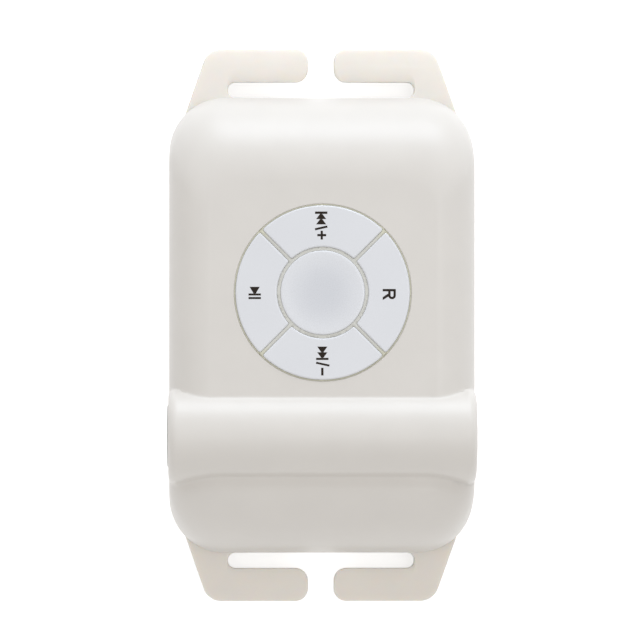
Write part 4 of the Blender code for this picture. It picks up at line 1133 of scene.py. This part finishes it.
def legend_outlines(keypad):
    """Each ring key's legend, as (place of its start from the pad's centre, outlines)."""
    line = keypad.stroke
    tall = 0.00066
    wing = 0.00054
    previous = [
        bar(0.0, line, tall),
        arrow(0.00080, line + 0.00001, wing),
        arrow(0.00137, 0.00081, wing),
        stroke_between((0.00190, -tall), (0.00160, tall), line * 0.9),
        plus(0.00252, 0.00006, 0.00047, line * 0.95),
    ]
    following = [
        arrow(0.0, 0.00060, wing),
        arrow(0.00061, 0.00119, wing),
        bar(0.00120, line * 0.9, tall),
        stroke_between((0.00172, -tall), (0.00203, tall + 0.0001), line * 0.85),
        bar(0.00226, 0.00082, line * 0.5),
    ]
    play = [
        arrow(0.0, 0.00070, wing),
        bar(0.00071, line * 0.85, tall),
        bar(0.00109, line * 0.85, tall),
    ]
    return {
        "previous": ((-0.00017, 0.00865), previous),
        "next": ((-0.00005, -0.00577), following),
        "play_pause": ((-0.00727, 0.00061), play),
        "repeat": ((0.00640, 0.00038), letter_r(0.00140, 0.00115, line)),
    }


def legend_mesh(keypad, place, outlines):
    """A thin print on a key's upper face."""
    curve = bpy.data.curves.new("legend", "CURVE")
    curve.dimensions = "2D"
    curve.fill_mode = "BOTH"
    curve.extrude = (keypad.print_height + PRINT_SUNK) / 2
    for outline in outlines:
        spline = curve.splines.new("POLY")
        spline.points.add(len(outline) - 1)
        spline.use_cyclic_u = True
        for target, (u, v) in zip(spline.points, outline):
            target.co = (PAD_CENTRE.x + place[0] + v, PAD_CENTRE.y + place[1] - u, 0.0, 1.0)
    drawn = linked("legend", curve)
    mesh = evaluated(drawn)
    bpy.data.objects.remove(drawn)
    middle = Vector((0, 0, KEY_TOP + (keypad.print_height - PRINT_SUNK) / 2))
    return shaped(mesh, weld, lambda shape: bmesh.ops.translate(shape, verts=shape.verts[:], vec=middle))


# The jack and the screws


def collar_mesh(jack):
    """The jack's collar: a flange with a stepped recess, and the nose behind it."""
    face, end = COLLAR_FACE + jack.set_in, COLLAR_INNER_END
    behind, floor = face + jack.collar_flange, face + jack.lead_in_depth
    flange, nose = jack.collar_radius, jack.collar_nose
    edge = levels_of(jack.edge, 4)
    profile = [(jack.bore, end), (nose, end), (nose, behind), (flange, behind)]
    profile += [(flange - inset, face + drop) for inset, drop in reversed(edge)]
    profile += [(jack.lead_in + inset, face + drop) for inset, drop in edge]
    profile += [(jack.lead_in, floor), (jack.bore, floor)]
    centre = (0, BARREL_AXIS.y, BARREL_AXIS.z)
    return turned("jack_collar_visual", profile, JACK_STEPS, centre, "X", closed=True)


def case_screw_mesh(screws, x, y):
    """A pan-head screw with a crowned head and a cross recess, its head towards the back."""
    low, high = SCREW_LOW.z, SCREW_HIGH.z
    head, shank = screws.head, screws.shank
    rim, under = low + screws.crown, low + screws.head_height
    edge = screws.head_height / 3
    profile = [
        (0, low),
        *((head * out, low + screws.crown * out**2) for out in (0.3, 0.6, 0.8)),
        (head - edge, rim),
        (head - edge * 0.3, rim + edge * 0.3),
        (head, rim + edge),
        (head, under),
        (shank, under),
        (shank, high - shank),
        (shank / 4, high),
        (0, high),
    ]
    body = turned("case_screw", profile, SCREW_STEPS, (x, y, 0))
    bars = []
    reach, recess = head * 0.7, screws.head_height * 0.7
    for half_x, half_y in ((reach, screws.cross / 2), (screws.cross / 2, reach)):
        plan = (x + half_x * np.array([1, -1, -1, 1]), y + half_y * np.array([1, 1, -1, -1]))
        rings = [level_ring(*plan, height) for height in (low - screws.crown, low + recess)]
        bars.append(("DIFFERENCE", capped("bar", np.array(rings))))
    return carved(body, bars)


# The operators


class PLAYER_OT_front_shell(bpy.types.Operator):
    """Makes the front shell with the barrel and the keypad's hole"""

    bl_idname = "audio_player.front_shell"
    bl_label = "Front Shell"

    def execute(self, context):
        player = settings()
        mesh = front_shell_mesh(player.case, player.jack)
        add_piece("front_shell_moulding", mesh, "case", "front_plastic", ("front_shell",))
        return {"FINISHED"}


class PLAYER_OT_rear_shell(bpy.types.Operator):
    """Makes the rear shell with its strap lugs and screw holes"""

    bl_idname = "audio_player.rear_shell"
    bl_label = "Rear Shell"

    def execute(self, context):
        player = settings()
        mesh = rear_shell_mesh(player.case, player.lugs, player.screws)
        add_piece("rear_shell_moulding", mesh, "case", "rear_plastic", ("rear_shell",))
        return {"FINISHED"}


class PLAYER_OT_keys(bpy.types.Operator):
    """Makes the four ring keys and the dished centre key"""

    bl_idname = "audio_player.keys"
    bl_label = "Keys"

    def execute(self, context):
        keypad = settings().keypad
        for name, direction in RING_KEYS.items():
            mesh = ring_key_mesh(keypad, direction)
            add_piece(f"cap_{name}", mesh, f"{name}_key", "key_plastic", (f"key_{name}",))
        plastic = "centre_key_plastic"
        add_piece("cap_centre", centre_key_mesh(keypad), "centre_key", plastic, ("key_centre",))
        return {"FINISHED"}


class PLAYER_OT_seal(bpy.types.Operator):
    """Makes the seal whose ribs show in the grooves between the keys"""

    bl_idname = "audio_player.seal"
    bl_label = "Keypad Seal"

    def execute(self, context):
        player = settings()
        silicone = "seal_silicone"
        mesh = seal_mesh(player.keypad, PAD_RADIUS + player.case.hole_gap)
        add_piece("keypad_seal_moulding", mesh, "case", silicone, ("keypad_seal",))
        return {"FINISHED"}


class PLAYER_OT_legends(bpy.types.Operator):
    """Prints the legends on the ring keys"""

    bl_idname = "audio_player.legends"
    bl_label = "Legends"

    def execute(self, context):
        keypad = settings().keypad
        for name, (place, outlines) in legend_outlines(keypad).items():
            mesh = legend_mesh(keypad, place, outlines)
            add_piece(f"legend_{name}", mesh, f"{name}_key", "print_ink")
        return {"FINISHED"}


class PLAYER_OT_jack(bpy.types.Operator):
    """Makes the jack's collar"""

    bl_idname = "audio_player.jack"
    bl_label = "Jack Collar"

    def execute(self, context):
        mesh = collar_mesh(settings().jack)
        add_piece("jack_collar_ring", mesh, "case", "collar_metal", ("jack_collar",))
        return {"FINISHED"}


class PLAYER_OT_screws(bpy.types.Operator):
    """Makes the four case screws"""

    bl_idname = "audio_player.screws"
    bl_label = "Case Screws"

    def execute(self, context):
        for which in (1, 2, 3, 4):
            node = f"case_screw_{which}"
            place = middle_of(node)
            mesh = case_screw_mesh(settings().screws, place.x, place.y)
            add_piece(f"case_screw_turned_{which}", mesh, "case", "steel", (node,), 30)
        return {"FINISHED"}


class PLAYER_OT_finishes(bpy.types.Operator):
    """Gives the CAD nodes that stay their finishes"""

    bl_idname = "audio_player.finishes"
    bl_label = "Finishes"

    def execute(self, context):
        for name, nodes in CARRIED_NODES.items():
            for node in nodes:
                materials = frame["nodes"][node].data.materials
                materials.clear()
                materials.append(finished(name))
        return {"FINISHED"}


# The stage

WHITE = (1.0, 1.0, 1.0, 1.0)
FLOOR_HEIGHT = -0.00002
FLOOR_STEPS = 64


def floor_material(stage):
    """A matt floor that takes the player's shadow and shows white to the camera and to reflections."""
    made = bpy.data.materials.new("floor")
    made.use_nodes = True
    nodes = made.node_tree.nodes
    shader = nodes["Principled BSDF"]
    wired(shader, Base_Color=(*stage.floor_colour, 1.0), Roughness=1.0, Specular_IOR_Level=0.0)
    path = nodes.new("ShaderNodeLightPath").outputs
    seen = worked_out(nodes, "MAXIMUM", path["Is Camera Ray"], path["Is Glossy Ray"])
    lift = worked_out(nodes, "MULTIPLY", seen, stage.floor_lift)
    glow = wired(nodes.new("ShaderNodeEmission"), Color=WHITE, Strength=lift)
    both = wired(nodes.new("ShaderNodeAddShader"), shader.outputs["BSDF"], glow.outputs["Emission"])
    wired(nodes["Material Output"], Surface=both.outputs["Shader"])
    return made


def white_surroundings(stage):
    """A world that the camera and reflections see as white, and that lights the player a little less."""
    world = bpy.data.worlds.new("surroundings")
    world.use_nodes = True
    nodes = world.node_tree.nodes
    path = nodes.new("ShaderNodeLightPath").outputs
    seen = path["Is Camera Ray"]
    for name in ("Is Glossy Ray", "Is Transmission Ray"):
        seen = worked_out(nodes, "MAXIMUM", seen, path[name])
    direction = nodes.new("ShaderNodeTexCoord").outputs["Generated"]
    across = wired(nodes.new("ShaderNodeSeparateXYZ"), direction).outputs["X"]
    weakest = stage.surround * (1 - stage.surround_sides)
    squared = worked_out(nodes, "MULTIPLY", across, across)
    light = ranged(nodes, squared, (0.0, 1.0), (stage.surround, weakest))
    wired(nodes["Background"], Color=WHITE, Strength=ranged(nodes, seen, (0.0, 1.0), (light, 1.0)))
    bpy.context.scene.world = world


def softbox(name, place, aim, size, watts, tint):
    """A soft rectangular light that the camera doesn't see."""
    light = bpy.data.lights.new(name, "AREA")
    light.shape = "RECTANGLE"
    light.size, light.size_y = size
    light.energy = watts
    light.color = tint
    made = fresh(name, light)
    made.location = place
    made.rotation_euler = (Vector(aim) - Vector(place)).to_track_quat("-Z", "Y").to_euler()
    made.visible_camera = False


class PLAYER_OT_stage(bpy.types.Operator):
    """Sets the floor, the lights, the surroundings and the camera"""

    bl_idname = "audio_player.stage"
    bl_label = "Stage"

    def execute(self, context):
        stage = settings().stage
        x, y = (stage.floor_radius * wave(circle(FLOOR_STEPS)) for wave in (np.cos, np.sin))
        mesh = mesh_of("floor", level_ring(x, y, FLOOR_HEIGHT), [range(FLOOR_STEPS)])
        mesh.materials.append(floor_material(stage))
        fresh("floor", mesh)
        white_surroundings(stage)
        aim = Vector((0, 0, FRONT_HIGH.z / 2))
        out, up = (stage.side_distance * wave(stage.side_rise) for wave in (math.cos, math.sin))
        place = (out * math.sin(stage.side_turn), out * math.cos(stage.side_turn), up)
        size = (stage.side_width, stage.side_height)
        softbox("side_light", place, aim, size, stage.side_power, stage.side_colour)
        place, size = (stage.over_shift, 0.0, stage.over_distance), (stage.over_width, stage.over_width)
        softbox("overhead_light", place, aim, size, stage.over_power, WHITE[:3])
        lens = bpy.data.cameras.new("camera")
        lens.lens = stage.lens
        camera = fresh("camera", lens)
        back = Vector((-math.sin(stage.lean), 0, math.cos(stage.lean)))
        camera.location = Vector(stage.target) + back * (stage.view_width * lens.lens / lens.sensor_width)
        camera.rotation_euler = (0, -stage.lean, 0)
        context.scene.camera = camera
        context.scene.view_settings.view_transform = "Standard"
        return {"FINISHED"}


OPERATORS = (
    PLAYER_OT_stage,
    PLAYER_OT_front_shell,
    PLAYER_OT_rear_shell,
    PLAYER_OT_keys,
    PLAYER_OT_seal,
    PLAYER_OT_legends,
    PLAYER_OT_jack,
    PLAYER_OT_screws,
    PLAYER_OT_finishes,
)


class PLAYER_PT_panel(bpy.types.Panel):
    """Lists the operators and the settings"""

    bl_idname = "PLAYER_PT_panel"
    bl_label = "Digital Audio Player"
    bl_space_type = "VIEW_3D"
    bl_region_type = "UI"
    bl_category = "Player"

    def draw(self, context):
        for operator in OPERATORS:
            self.layout.operator(operator.bl_idname)
        for group in settings().bl_rna.properties:
            if group.type != "POINTER" or group.identifier == "rna_type":
                continue
            box = self.layout.box()
            box.label(text=group.identifier.replace("_", " ").capitalize())
            values = getattr(settings(), group.identifier)
            for name in values.__annotations__:
                box.prop(values, name)


CLASSES = (
    CaseSettings,
    LugSettings,
    KeypadSettings,
    JackSettings,
    ScrewSettings,
    FinishSettings,
    StageSettings,
    PlayerSettings,
    *OPERATORS,
    PLAYER_PT_panel,
)


def register():
    for made in CLASSES:
        bpy.utils.register_class(made)
    bpy.types.Scene.audio_player = bpy.props.PointerProperty(type=PlayerSettings)


def unregister():
    del bpy.types.Scene.audio_player
    for made in reversed(CLASSES):
        bpy.utils.unregister_class(made)


def main():
    register()
    for operator in OPERATORS:
        group, name = operator.bl_idname.split(".")
        getattr(getattr(bpy.ops, group), name)()


if __name__ == "__main__":
    main()
